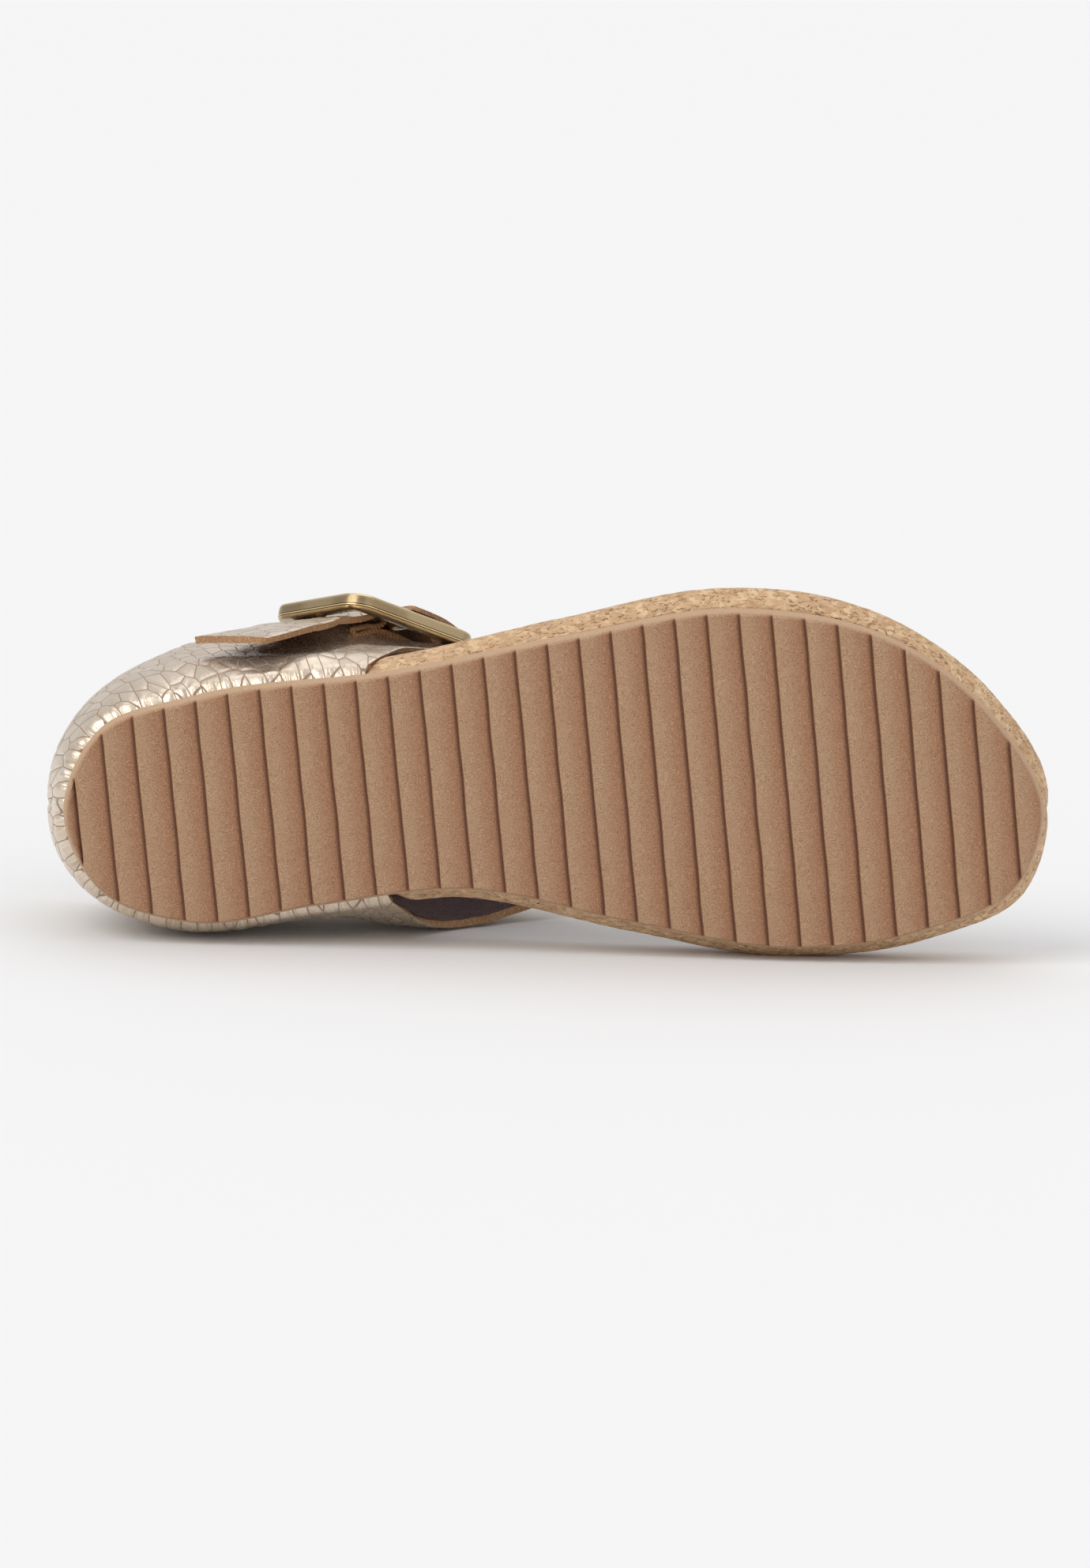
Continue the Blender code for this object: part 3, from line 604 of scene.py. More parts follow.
def gold_leather():
    made, tree, shader = finish("gold_leather", 0.34, 0.8)
    scales_at = node(tree, "UVMap", uv_map="UVMap").outputs[0]
    fine, broad = grain(tree, 1400)
    groove = between(tree, scale_edges(tree, scales_at), 0.012, GROOVE_WIDTH, 1, 0)
    tone = chance(tree, scales(tree, scales_at)).outputs[0]
    crack = cell_edges(tree, scales_at, 9, voronoi_dimensions="2D")
    crack = between(tree, crack, 0, 0.10, 1, 0)
    crack = times(tree, crack, between(tree, broad, 0.3, 0.9))
    pleated = mark(tree, "pleat")
    pressed = node(tree, "Mapping", {"Vector": scales_at, "Scale": (4, 1.2, 1)}).outputs[0]
    pleats = clouds(tree, pressed, 1, 2).outputs["Fac"]
    pleat = times(tree, between(tree, pleats, 0.48, 0.62), pleated)
    colour = mixed(tree, between(tree, tone, 0.2, 1, 0, 0.45), FOIL_GOLD, FOIL_WARM)
    colour = mixed(tree, times(tree, broad, 0.35), colour, FOIL_WARM)
    colour = mixed(tree, times(tree, crack, 0.12), colour, FOIL_GROOVE)
    # Painted shade in the creases of the pleats and of the strap's bend wrinkles.
    colour = mixed(tree, times(tree, pleat, 0.3), colour, FOIL_GROOVE)
    colour = mixed(tree, times(tree, groove, 0.8), colour, FOIL_GROOVE)
    feed(shader, "Base Color", colour)
    worn = maths(tree, "MAXIMUM", groove, times(tree, crack, 0.2))
    feed(shader, "Metallic", between(tree, worn, 0, 1, 0.85, 0.25))
    rough = maths(tree, "ADD", between(tree, worn, 0, 1, 0.25, 0.6), times(tree, fine, 0.1))
    feed(shader, "Roughness", rough)
    height = times(tree, fine, 0.25)
    height = maths(tree, "SUBTRACT", height, times(tree, crack, 0.2))
    height = maths(tree, "SUBTRACT", height, times(tree, pleat, 0.8))
    raise_surface(tree, shader, height, 0.10)
    return made


def fibrous(name, pale, dark, roughness, scale):
    """Suede lining and raw cut edges: short fibres that catch no light."""
    made, tree, shader = finish(name, roughness)
    fine, broad = grain(tree, scale)
    colour = mixed(tree, fine, dark, pale)
    colour = mixed(tree, times(tree, broad, 0.4), colour, dark)
    feed(shader, "Base Color", colour)
    raise_surface(tree, shader, fine, 0.25)
    return made


gold = gold_leather()
lining = fibrous("suede_lining", LINING_MAUVE, LINING_DARK, 0.92, 1800)
raw_edge = fibrous("raw_edge", RAW_TAN, RAW_DARK, 0.9, 2200)
thread = fibrous("sewing_thread", THREAD_TAN, RAW_DARK, 0.7, 4000)

# Geometry Nodes that sink the grooves between the scales, in step with the leather's own pattern.
emboss_group = bpy.data.node_groups.new("emboss", "GeometryNodeTree")
for way in ("INPUT", "OUTPUT"):
    emboss_group.interface.new_socket("Geometry", in_out=way, socket_type="NodeSocketGeometry")
flat_leather = emboss_group.nodes.new("NodeGroupInput").outputs[0]


def sheet_mark(name, data_type):
    made = emboss_group.nodes.new("GeometryNodeInputNamedAttribute")
    made.data_type = data_type
    made.inputs["Name"].default_value = name
    return made.outputs["Attribute"]


sink = scale_edges(emboss_group, sheet_mark("UVMap", "FLOAT_VECTOR"))
sink = between(emboss_group, sink, 0, PILLOW_WIDTH, -GROOVE_DEPTH * MM, 0)
sink = times(emboss_group, sink, sheet_mark("press", "FLOAT"))
leather_out = emboss_group.nodes.new("GeometryNodeInputNormal").outputs[0]
sunk = node(emboss_group, "VectorMath", {0: leather_out, "Scale": sink}, operation="SCALE")
pressed_in = emboss_group.nodes.new("GeometryNodeSetPosition")
emboss_group.links.new(flat_leather, pressed_in.inputs["Geometry"])
emboss_group.links.new(sunk.outputs[0], pressed_in.inputs["Offset"])
embossed = emboss_group.nodes.new("NodeGroupOutput")
emboss_group.links.new(pressed_in.outputs[0], embossed.inputs[0])


def leather_sheet(points, pattern, press, pleat=None):
    """A grid laid on rows of points, with each point's place in the embossed pattern as its UV, and how
    deep it is pressed and pleated."""
    bm = bmesh.new()
    places = bm.loops.layers.uv.new("UVMap")
    presses = bm.verts.layers.float.new("press")
    pleats = bm.verts.layers.float.new("pleat")
    spots = grid_spots(bm, points.shape[0] - 1, points.shape[1] - 1)
    for vert, spot in spots.items():
        vert.co = points[spot]
        vert[presses] = press[spot]
        vert[pleats] = 0 if pleat is None else pleat[spot]
    for face in bm.faces:
        for loop in face.loops:
            loop[places].uv = pattern[spots[loop.vert]]
    return bm


def cut_leather(name, bm, thickness, back=lining):
    """Emboss a sheet, give it its thickness, back and raw edges, and lay it down."""
    piece = lay_down(name, bm, [gold, back, raw_edge])
    piece.modifiers.new("emboss", "NODES").node_group = emboss_group
    wall = piece.modifiers.new("thickness", "SOLIDIFY")
    wall.thickness = thickness * MM
    wall.offset = -1
    wall.material_offset = 1
    wall.material_offset_rim = 2
    evaluated = piece.evaluated_get(bpy.context.evaluated_depsgraph_get())
    mesh = bpy.data.meshes.new_from_object(evaluated)
    piece.modifiers.clear()
    piece.data = mesh
    mesh.set_sharp_from_angle(angle=math.radians(LEATHER_SHARP_DEG))
    return piece


LEATHER = 2
CENTRE_Y = 5
HEEL_CENTRE_X = 45
HEEL_BACK_REACH = 49.8
HEEL_FULLNESS = 2.25
HEEL_EDGE_OVERLAP = 12
WALL_FOOT_Z = 5.92
WALL_FOOT_OUT = 1.4
# The last inside the leather: half-widths, heights of the widest line, height of the instep.
# Columns: x, outer, outer_z, inner, inner_z, crown.
LAST = (
    (45, 31.3, 30, 37.6, 18.5, 132), (65, 32.4, 33, 35, 22, 120), (80, 34, 38, 36.6, 32, 109),
    (97, 33.4, 38, 39.4, 42, 99), (115, 36, 37, 38.4, 44, 87), (135, 40, 35, 36.8, 40, 74),
    (160, 43.5, 32, 36.6, 34, 59), (185, 42, 30, 37, 30, 44.5), (200, 40, 28, 36, 28, 35),
    (210, 38, 24, 35, 24, 27),
)
# Around counts degrees round the heel, 0 at the back, then from 90 on millimetres forward, negative on
# the outer side. An edge is at -1 on the outsole, 0 on the widest line and 1 on the crown.
# Columns: around, low_edge, high_edge.
WALL = (
    (-191, 0.88, 0.97), (-181, 0.75, 0.93), (-170, 0.57, 0.79), (-157, 0.31, 0.48), (-145, 0.11, 0.31),
    (-137, -0.03, 0.24), (-132, -0.27, 0.20), (-127, -0.70, 0.17), (-121.6, -1.00, 0.17),
    (-105, -1.00, 0.21), (-90, -1.00, 0.24), (-45, -1.00, 0.26), (0, -1.00, 0.31), (45, -1.00, 0.27),
    (90, -1.00, 0.21), (105, -1.00, 0.20), (117, -1.00, 0.22), (127.5, -1.00, 0.25), (132, -0.72, 0.28),
    (137, -0.43, 0.32), (144, -0.20, 0.38), (156, 0.03, 0.50), (169, 0.24, 0.74), (181, 0.60, 0.92),
    (191, 0.85, 0.97),
)
OUTER_EDGE = np.array(sorted((x, y) for x, y in EDGE if y < CENTRE_Y))
INNER_EDGE = np.array(sorted((x, y) for x, y in EDGE if y >= CENTRE_Y))
HEEL_EDGE = np.array(sorted(
    (math.atan2(y - CENTRE_Y, HEEL_CENTRE_X - x), math.hypot(x - HEEL_CENTRE_X, y - CENTRE_Y))
    for x, y in EDGE if x < HEEL_CENTRE_X + HEEL_EDGE_OVERLAP))


def skin(around, rises):
    """Points of the last at one place round the foot, at rises from the sole to the crown."""
    rises = np.atleast_1d(np.asarray(rises, float))
    side = -1 if around < 0 else 1
    forward = max(abs(around) - 90, 0)
    turn = math.radians(min(abs(around), 90))
    x = HEEL_CENTRE_X + forward
    outer, outer_z, inner, inner_z, crown = table_row(LAST, x)
    reach = inner - CENTRE_Y if side > 0 else outer + CENTRE_Y
    widest_z = outer_z + (inner_z - outer_z) * (1 + side * math.sin(turn)) / 2
    back = max(math.cos(turn), 0) ** (2 / HEEL_FULLNESS)
    sideways = math.sin(turn) ** (2 / HEEL_FULLNESS)
    wide = np.array([-HEEL_BACK_REACH * back, side * reach * sideways])
    if forward > 0:
        edge = OUTER_EDGE if side < 0 else INNER_EDGE
        radius = abs(np.interp(x, edge[:, 0], edge[:, 1]) - CENTRE_Y)
    else:
        radius = np.interp(math.atan2(wide[1], -wide[0]), HEEL_EDGE[:, 0], HEEL_EDGE[:, 1])
    foot = wide / np.linalg.norm(wide) * (radius + WALL_FOOT_OUT)
    low = (rises < 0)[:, None]
    swell = np.sin((1 + np.minimum(rises, 0)) * math.pi / 2)[:, None]
    close = np.cos(np.maximum(rises, 0) * math.pi / 2)[:, None]
    flat = np.where(low, foot + (wide - foot) * swell, wide * close)
    high_z = widest_z + (crown - widest_z) * np.sin(rises * math.pi / 2)
    z = np.where(rises < 0, widest_z + (widest_z - WALL_FOOT_Z) * rises, high_z)
    return np.column_stack([x + flat[:, 0], CENTRE_Y + flat[:, 1], z])


def skin_out(around, rises):
    """Outward directions of the last's surface."""
    small = 0.01
    nudge = 0.5
    rises = np.minimum(np.atleast_1d(np.asarray(rises, float)), 1 - 2 * small)
    up = skin(around, rises + small) - skin(around, rises - small)
    on = skin(around + nudge, rises) - skin(around - nudge, rises)
    return unit(np.cross(up, on))


WALL_STEPS_ROUND = 560
WALL_STEPS_UP = 64
SCALE_WIDE = 4.2
SCALE_TALL = 8.5
SCALE_SHORT = 5.2
TALL_UP_TO = 22
SCALE_LEAN = 0.22
TUCK = 2.5
TUCK_HEIGHT = 3.2
TUCKED_WITHIN = 0.2
LOOSE_FROM = 2
RISE_SAMPLES = 81
EDGE_DROP = 0.35
EDGE_SOFT = 0.7
EDGE_FLAT = 2.5
FOOT_DROP = 0.5
PLEAT_HEIGHT = 4.5
# Soft troughs and ridges; a ridge has a negative depth. Heights are along the leather
# from the outsole. Columns: around and height at one end, at the other end, half_width, depth.
CREASES = (
    (-78, 52, -104, 48, 10, -1.8), (-111, 48, -117, 51, 6, -6.2), (-130, 40, -153, 46, 12, 3),
    (-106, 8, -120, 10, 6, -1.4), (92, 16, 112, 20, 13, 2.3), (-64, 30, -112, 28, 5.5, 0.9),
    (-108, 9, -119, 24, 4, -0.7), (-96, 6, -112, 17, 3, 0.45), (-34, 14, -62, 20, 4.5, 0.4),
    (-30, 47, 28, 45, 4.5, 0.8), (-18, 30, 22, 33, 5, 0.4), (58, 12, 92, 22, 4.5, 0.5),
    (96, 30, 118, 22, 4, 0.6), (112, 12, 126, 30, 4, -0.5), (148, 44, 160, 58, 4, 0.5),
    (-150, 40, -162, 52, 4, 0.5),
)
PUCKERS = np.linspace(-108, 24, 28)
PUCKER_DEPTH = 0.32
PUCKER_HALF = 0.9
PUCKER_LEAN = 0.25
PUCKER_REACHES = (4, 5.5, 7, 4.75, 6.25)
BACK_SEAM_DEPTH = 0.55
BACK_SEAM_HALF = 0.8


def crease_depth(place, height, starts):
    """Depth of all creases at points given by their place round the wall and their height, in mm."""
    depth = np.zeros_like(height)
    for around_0, height_0, around_1, height_1, half_width, deep in CREASES:
        one = np.array([starts(around_0), height_0])
        other = np.array([starts(around_1), height_1])
        run = other - one
        share = ((place - one[0]) * run[0] + (height - one[1]) * run[1]) / (run @ run)
        share = np.clip(share, 0, 1)
        away = np.hypot(place - one[0] - share * run[0], height - one[1] - share * run[1])
        depth += deep * np.exp(-(away / half_width) ** 2)
    for i, around in enumerate(PUCKERS):
        away = place - starts(around) - PUCKER_LEAN * height * (1 if i % 3 else -1)
        reach = PUCKER_REACHES[i % len(PUCKER_REACHES)]
        depth += PUCKER_DEPTH * np.exp(-(away / PUCKER_HALF) ** 2) * np.exp(-(height / reach) ** 2)
    return depth + BACK_SEAM_DEPTH * np.exp(-((place - starts(0)) / BACK_SEAM_HALF) ** 2)


def wall_arrays():
    """Outer face of the wall, its pattern places and its pleats, on a grid round and up the shoe."""
    rounds = np.linspace(WALL[-1][0], WALL[0][0], WALL_STEPS_ROUND + 1)
    up = np.linspace(0, 1, WALL_STEPS_UP + 1)
    inner, out, height = [], [], []
    for around in rounds:
        low, high = table_row(WALL, around)
        rises = max(low, -1) + (high - max(low, -1)) * up
        ladder = np.linspace(-1, 1, RISE_SAMPLES)
        height.append(np.interp(rises, ladder, run_lengths(skin(around, ladder))))
        inner.append(skin(around, rises))
        out.append(skin_out(around, rises))
    inner, out, height = np.array(inner), np.array(out), np.array(height)
    middle = np.array([skin(around, 0)[0] for around in rounds])
    place = run_lengths(middle)

    def starts(around):
        return np.interp(-around, -rounds, place)

    places = np.broadcast_to(place[:, None], height.shape)
    from_low, from_high = height - height[:, :1], height[:, -1:] - height
    on_sole = 1 - ramp(height[:, :1], TUCKED_WITHIN, LOOSE_FROM)
    tuck = TUCK * np.clip(1 - from_low / TUCK_HEIGHT, 0, 1) ** 2 * on_sole
    drop = EDGE_DROP * (np.exp(-from_high / EDGE_SOFT) + (1 - on_sole) * np.exp(-from_low / EDGE_SOFT))
    thick = LEATHER - tuck - drop - crease_depth(places, height, starts)
    pattern_up = np.minimum(height, TALL_UP_TO) / SCALE_TALL
    pattern_up = pattern_up + np.maximum(height - TALL_UP_TO, 0) / SCALE_SHORT
    pattern = np.stack([(places + SCALE_LEAN * height) / SCALE_WIDE, pattern_up], axis=-1)
    # Pleats near the sole: bump and painted shade in their creases.
    pleat = np.clip(1 - height / PLEAT_HEIGHT, 0, 1) * on_sole
    press = np.clip(from_high / EDGE_FLAT, 0, 1)
    press = press * (on_sole + (1 - on_sole) * np.clip(from_low / EDGE_FLAT, 0, 1))
    points = inner + out * thick[..., None]
    points[..., 2] -= FOOT_DROP * np.clip(1 - from_low / TUCK_HEIGHT, 0, 1) * on_sole
    return points, pattern, press, pleat


wall_points, *wall_marks = wall_arrays()
quarters = cut_leather("counter_and_quarters", leather_sheet(wall_points, *wall_marks), LEATHER)
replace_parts(quarters, "upper")

STITCH_LONG = 2.6
STITCH_THICK = 0.55
STITCH_PITCH = 3.5


def sew(name, rows):
    """Rows of stitches: each row is a path and the outward direction at each of its points."""
    bm = bmesh.new()
    for path, out in rows:
        count = int(run_lengths(path)[-1] / STITCH_PITCH)
        both = smooth_through(np.hstack([path, out]), 2 * count + 1)
        for i in range(1, 2 * count, 2):
            forward = Vector(both[i + 1, :3] - both[i - 1, :3])
            turn = turn_of(forward, Vector(both[i, 3:])).to_4x4()
            size = Matrix.Diagonal((STITCH_LONG / 2, STITCH_THICK / 2, STITCH_THICK / 2, 1))
            place = Matrix.Translation(Vector(both[i, :3])) @ turn @ size
            bmesh.ops.create_icosphere(bm, subdivisions=1, radius=1, matrix=place)
    return lay_down(name, bm, [thread])


BACK_SEAM_STITCH = 2.4
BACK_SEAM_ROWS = slice(6, 62, 4)
STITCH_SUNK = 0.15


def back_seam_rows():
    rows = []
    middle = WALL_STEPS_ROUND // 2
    for sideways in (-1, 1):
        path = wall_points[middle, BACK_SEAM_ROWS].copy()
        path[:, 1] += sideways * BACK_SEAM_STITCH
        out = np.array([skin_out(0, 0)[0]] * len(path))
        path[:, 0] += STITCH_SUNK
        rows.append((path, out))
    return rows


sew("back_seam_stitches", back_seam_rows())

# The toe strap and its post: a tapering strap of the same leather. Its rounded back end is sewn over the
# two branches, and its front end turns down between the toes into a leather-covered post.
# Columns: x, y, half_width, lift off the last.
TOE_STRAP = (
    (116, 4.6, 12, 2.2), (140, 5, 11.5, 2.2), (158, 7.5, 9.5, 1.4), (178, 11, 7.5, 1.1),
    (196, 14.4, 5.6, 0.8), (207, 16.2, 4.6, -0.4),
)
TOE_STRAP_STEPS = 140
TOE_STRAP_STEPS_ACROSS = 32
TAB_ROUND = 9
TIP_ROUND = 4
END_FROM = 0.8
TOE_PATTERN_FROM = 40


def top_z(x, y):
    """Height of the last's upper surface over points of the forefoot."""
    outer, outer_z, inner, inner_z, crown = table_row(LAST, x).T
    reach = np.where(y > CENTRE_Y, inner - CENTRE_Y, outer + CENTRE_Y)
    widest_z = np.where(y > CENTRE_Y, inner_z, outer_z)
    share = np.minimum(abs(y - CENTRE_Y) / reach, 1)
    return widest_z + (crown - widest_z) * np.sqrt(1 - share ** 2)


def rounded_end(along, across, length, half_width, radius, at_start):
    """How far a strip's end draws back towards its two corners, at places along and across it."""
    corner = np.maximum(abs(across) - (half_width - radius), 0)
    back = radius - np.sqrt(np.maximum(radius ** 2 - corner ** 2, 0))
    share = 1 - along / length if at_start else along / length
    return back * np.clip((share - END_FROM) / (1 - END_FROM), 0, 1) * (1 if at_start else -1)


def make_toe_strap():
    first, last = TOE_STRAP[0][0], TOE_STRAP[-1][0]
    side = np.linspace(-1, 1, TOE_STRAP_STEPS_ACROSS + 1)[None, :]
    x = np.linspace(first, last, TOE_STRAP_STEPS + 1)[:, None] + 0 * side
    middle, half, lift = np.moveaxis(table_row(TOE_STRAP, x), -1, 0)
    pull = rounded_end(x - first, side * half, last - first, half, TAB_ROUND, True)
    pull = pull + rounded_end(x - first, side * half, last - first, half, TIP_ROUND, False)
    y = middle + half * side
    x = x + pull
    from_edge = half * (1 - abs(side))
    z = np.vectorize(top_z)(x, y) + lift + LEATHER
    z = z - EDGE_DROP * np.exp(-from_edge / EDGE_SOFT)
    points = np.stack([x, y, z], axis=-1)
    pattern = np.stack([(x - first) / SCALE_SHORT + TOE_PATTERN_FROM, y / SCALE_SHORT], axis=-1)
    return points, leather_sheet(points, pattern, np.clip(from_edge / EDGE_FLAT, 0, 1))


toe_points, toe_sheet = make_toe_strap()
cut_leather("toe_strap", toe_sheet, LEATHER)
TAB_STITCH_IN = 4
TAB_STITCHED_TO = 44
TAB_STEP_ALONG = 6
TAB_STEP_ACROSS = 4
TAB_UP = Vector((0.45, 0, 1)).normalized()
tab_paths = [toe_points[TAB_STITCH_IN:TAB_STITCHED_TO:TAB_STEP_ALONG, column]
             for column in (TAB_STITCH_IN, TOE_STRAP_STEPS_ACROSS - TAB_STITCH_IN)]
tab_paths += [toe_points[row, TAB_STITCH_IN:-TAB_STITCH_IN:TAB_STEP_ACROSS]
              for row in (TAB_STITCH_IN, TAB_STITCHED_TO)]
sew("toe_strap_stitches", [(path, np.array([TAB_UP] * len(path))) for path in tab_paths])

POST_X = 203.5
POST_Y = 15.6
POST_LOW = 23.9
POST_INTO_STRAP = 1
# Columns: share of the post's height, radius.
POST_SHAPE = ((0, 3.7), (0.06, 3.3), (0.2, 2.9), (0.7, 2.8), (1, 3.4))
POST_SIDES = 28


def make_toe_post():
    low = POST_LOW + toe_lift(POST_X)
    high = float(top_z(POST_X, POST_Y)) + POST_INTO_STRAP
    bm = bmesh.new()
    shape = [bm.verts.new((POST_X + radius, POST_Y, low + share * (high - low)))
             for share, radius in POST_SHAPE]
    seam = [bm.edges.new(pair) for pair in zip(shape, shape[1:])]
    bmesh.ops.spin(bm, geom=shape + seam, cent=(POST_X, POST_Y, 0), axis=(0, 0, 1),
                   angle=2 * math.pi, steps=POST_SIDES, use_merge=True)
    close_up(bm, open_edges(bm))
    return lay_down("toe_post", bm, [raw_edge])


make_toe_post()

# The instep strap: a broad, thick strap of the same leather with fuzzy raw edges. It is sewn in behind
# the inner quarter, crosses the instep, threads under, over and under the buckle's bars, and its free
# tail stands a little off the counter.
BUCKLE_CENTRE = Vector((78.23, -35.36, 64.34))
ALONG = Vector((30.7, 14.9, 23.3)).normalized()
ACROSS = Vector((0.12, -0.92, 0.37)).cross(ALONG).normalized()
OUT = ALONG.cross(ACROSS).normalized()
SUEDE_BROWN = srgb(156, 112, 78)
SUEDE_DARK = srgb(116, 80, 54)
STRAP_WIDTH = 24.6
STRAP_THICK = 1.9
# Columns: around, rise, lift off the last.
STRAP_OVER_FOOT = (
    (96, 0.15, -2.7), (104, 0.20, -2.7), (112, 0.25, -2.7), (124, 0.32, -2.6), (136, 0.43, -1.9),
    (144, 0.56, -0.8), (151.5, 0.82, 0.9), (154, 1.00, 1.8), (-151.5, 0.82, 2.4), (-144, 0.57, 3.2),
)
# Columns: along the buckle, out from its middle plane, turn of the strap's face across it, aside.
STRAP_FROM_BUCKLE = (
    (22.5, -5.2, 0, 0), (16, -4.4, 0, 0), (7, 2.2, -0.04, 0), (0, 3.4, -0.05, 0), (-6.5, 1.8, -0.06, 0),
    (-14, -2.5, -0.05, 0), (-18.5, -4.6, -0.03, 0), (-22, -5.9, -0.02, 0), (-32, -10.5, -0.01, -1.6),
    (-42, -15.3, -0.035, -3.4), (-51, -19.6, -0.055, -5.1),
)
FACING_REACH = 40
STRAP_STEPS = 330
STRAP_STEPS_ACROSS = 36
STRAP_EDGE_DROP = 0.5
STRAP_CROWN = 0.25
STRAP_PRESS = 0.6
TAIL_ROUND = 1.6
WRINKLE_PER_BEND = 12
STRAP_PATTERN_FROM = 80


def buckle_point(along, out):
    return np.array(BUCKLE_CENTRE + ALONG * along + OUT * out)


def strap_sheet(route, steps, thickness, tail_round):
    """A strap along a route whose rows give the middle of its inner face and the way it faces."""
    both = smooth_through(route, steps + 1)
    path, facing = both[:, :3], both[:, 3:]
    tangent = np.gradient(path, axis=0)
    step = np.linalg.norm(tangent, axis=1).mean()
    tangent = unit(tangent)
    across = unit(np.cross(facing, tangent))
    out = np.cross(tangent, across)
    side = np.linspace(-0.5, 0.5, STRAP_STEPS_ACROSS + 1) * STRAP_WIDTH
    from_edge = STRAP_WIDTH / 2 - abs(side)
    thick = thickness - STRAP_CROWN * (2 * side / STRAP_WIDTH) ** 2
    thick = thick - STRAP_EDGE_DROP * np.exp(-from_edge / EDGE_SOFT)
    place = np.arange(steps + 1) * step
    pull = rounded_end(place[:, None], side[None, :], place[-1], STRAP_WIDTH / 2, tail_round, False)
    points = (path[:, None, :] + across[:, None, :] * side[None, :, None]
              + out[:, None, :] * thick[None, :, None] + tangent[:, None, :] * pull[..., None])
    pattern = np.broadcast_arrays(place[:, None] / SCALE_SHORT, side[None, :] / SCALE_SHORT)
    press = np.clip(from_edge / EDGE_FLAT, 0, 1) * STRAP_PRESS
    bend = np.linalg.norm(np.gradient(tangent, axis=0), axis=1) / step
    # Where the strap bends it wrinkles: bump and painted shade in the creases.
    wrinkle = np.broadcast_to(np.minimum(WRINKLE_PER_BEND * bend, 1)[:, None], pull.shape)
    press = np.broadcast_to(press, pull.shape)
    return leather_sheet(points, np.stack(pattern, axis=-1) + STRAP_PATTERN_FROM, press, wrinkle)


def foot_row(around, rise, lift):
    out = skin_out(around, rise)[0]
    return (*(skin(around, rise)[0] + out * lift), *(out * FACING_REACH))


def buckle_row(along, out, turn, aside):
    place = buckle_point(along, out) + np.array(ACROSS) * aside
    return (*place, *((OUT + ACROSS * turn) * FACING_REACH))


strap_route = [foot_row(*row) for row in STRAP_OVER_FOOT]
strap_route += [buckle_row(*row) for row in STRAP_FROM_BUCKLE]
strap_back = fibrous("strap_back", SUEDE_BROWN, SUEDE_DARK, 0.9, 2000)
strap = strap_sheet(strap_route, STRAP_STEPS, STRAP_THICK, TAIL_ROUND)
cut_leather("instep_strap", strap, STRAP_THICK, strap_back)

# The strap's second layer: the leather is doubled where it comes over the buckle's forward bar, folded
# round the bar and laid back on itself.
FOLD_THICK = 1.1
FOLD_STEPS = 60
# Columns: along the buckle, out from its middle plane, facing along it, facing out.
FOLD_ROUTE = (
    (23, -1.4, 1, 0), (23, 0.6, 1, 0.2), (22.1, 2.3, 0.7, 0.7), (18.8, 3.4, 0.3, 1), (15, 4.4, 0.2, 1),
    (11.5, 4.9, 0.05, 1), (7, 5.1, 0, 1), (3, 5.1, 0, 1),
)


def fold_row(along, out, faces_along, faces_out):
    return (*buckle_point(along, out), *((ALONG * faces_along + OUT * faces_out) * FACING_REACH))


fold_route = [fold_row(*row) for row in FOLD_ROUTE]
fold = strap_sheet(fold_route, FOLD_STEPS, FOLD_THICK, TAIL_ROUND)
cut_leather("strap_fold", fold, FOLD_THICK, strap_back)

# The elastic: a row of twisted tan cords, folded double. Its fold is sewn at the outer tab; one end turns
# up behind the buckle's centre bar, and the other runs on under it.
# Columns: along the buckle, out from its middle plane.
ELASTIC_ROUTE = (
    (-2.3, 1), (-2.75, -0.4), (-4.5, -1.6), (-8, -2.7), (-11, -4.1), (-12.6, -5), (-11.6, -6), (-8.5, -4.7),
    (-5, -3.1), (-2, -2.5), (2, -2.5), (6, -2.7), (11.5, -3.3),
)
ELASTIC_WIDTH = 15
CORD_COUNT = 9
CORD_RADIUS = 0.72
CORD_PLY = 0.42
PLY_MIDDLE = 0.6
CORD_WELD = 0.001
CORD_LAY = 2.4
CORD_STEPS = 170
CORD_SIDES = 14
BRAID_TAN = srgb(226, 180, 134)
BRAID_DARK = srgb(176, 130, 90)
BRAID_GAP_SHADE = srgb(92, 60, 38)


def braided_cord():
    made = fibrous("braided_elastic", BRAID_TAN, BRAID_DARK, 0.88, 3200)
    tree = made.node_tree
    shader = tree.nodes["Principled BSDF"]
    plain = shader.inputs["Base Color"].links[0].from_socket
    ply_gap_shade = mark(tree, "ply_gap_shade")
    # Painted shade in the dips between the twisted plies.
    colour = mixed(tree, between(tree, ply_gap_shade, 0.5, 1, 0, 0.85), plain, BRAID_GAP_SHADE)
    feed(shader, "Base Color", colour)
    return made


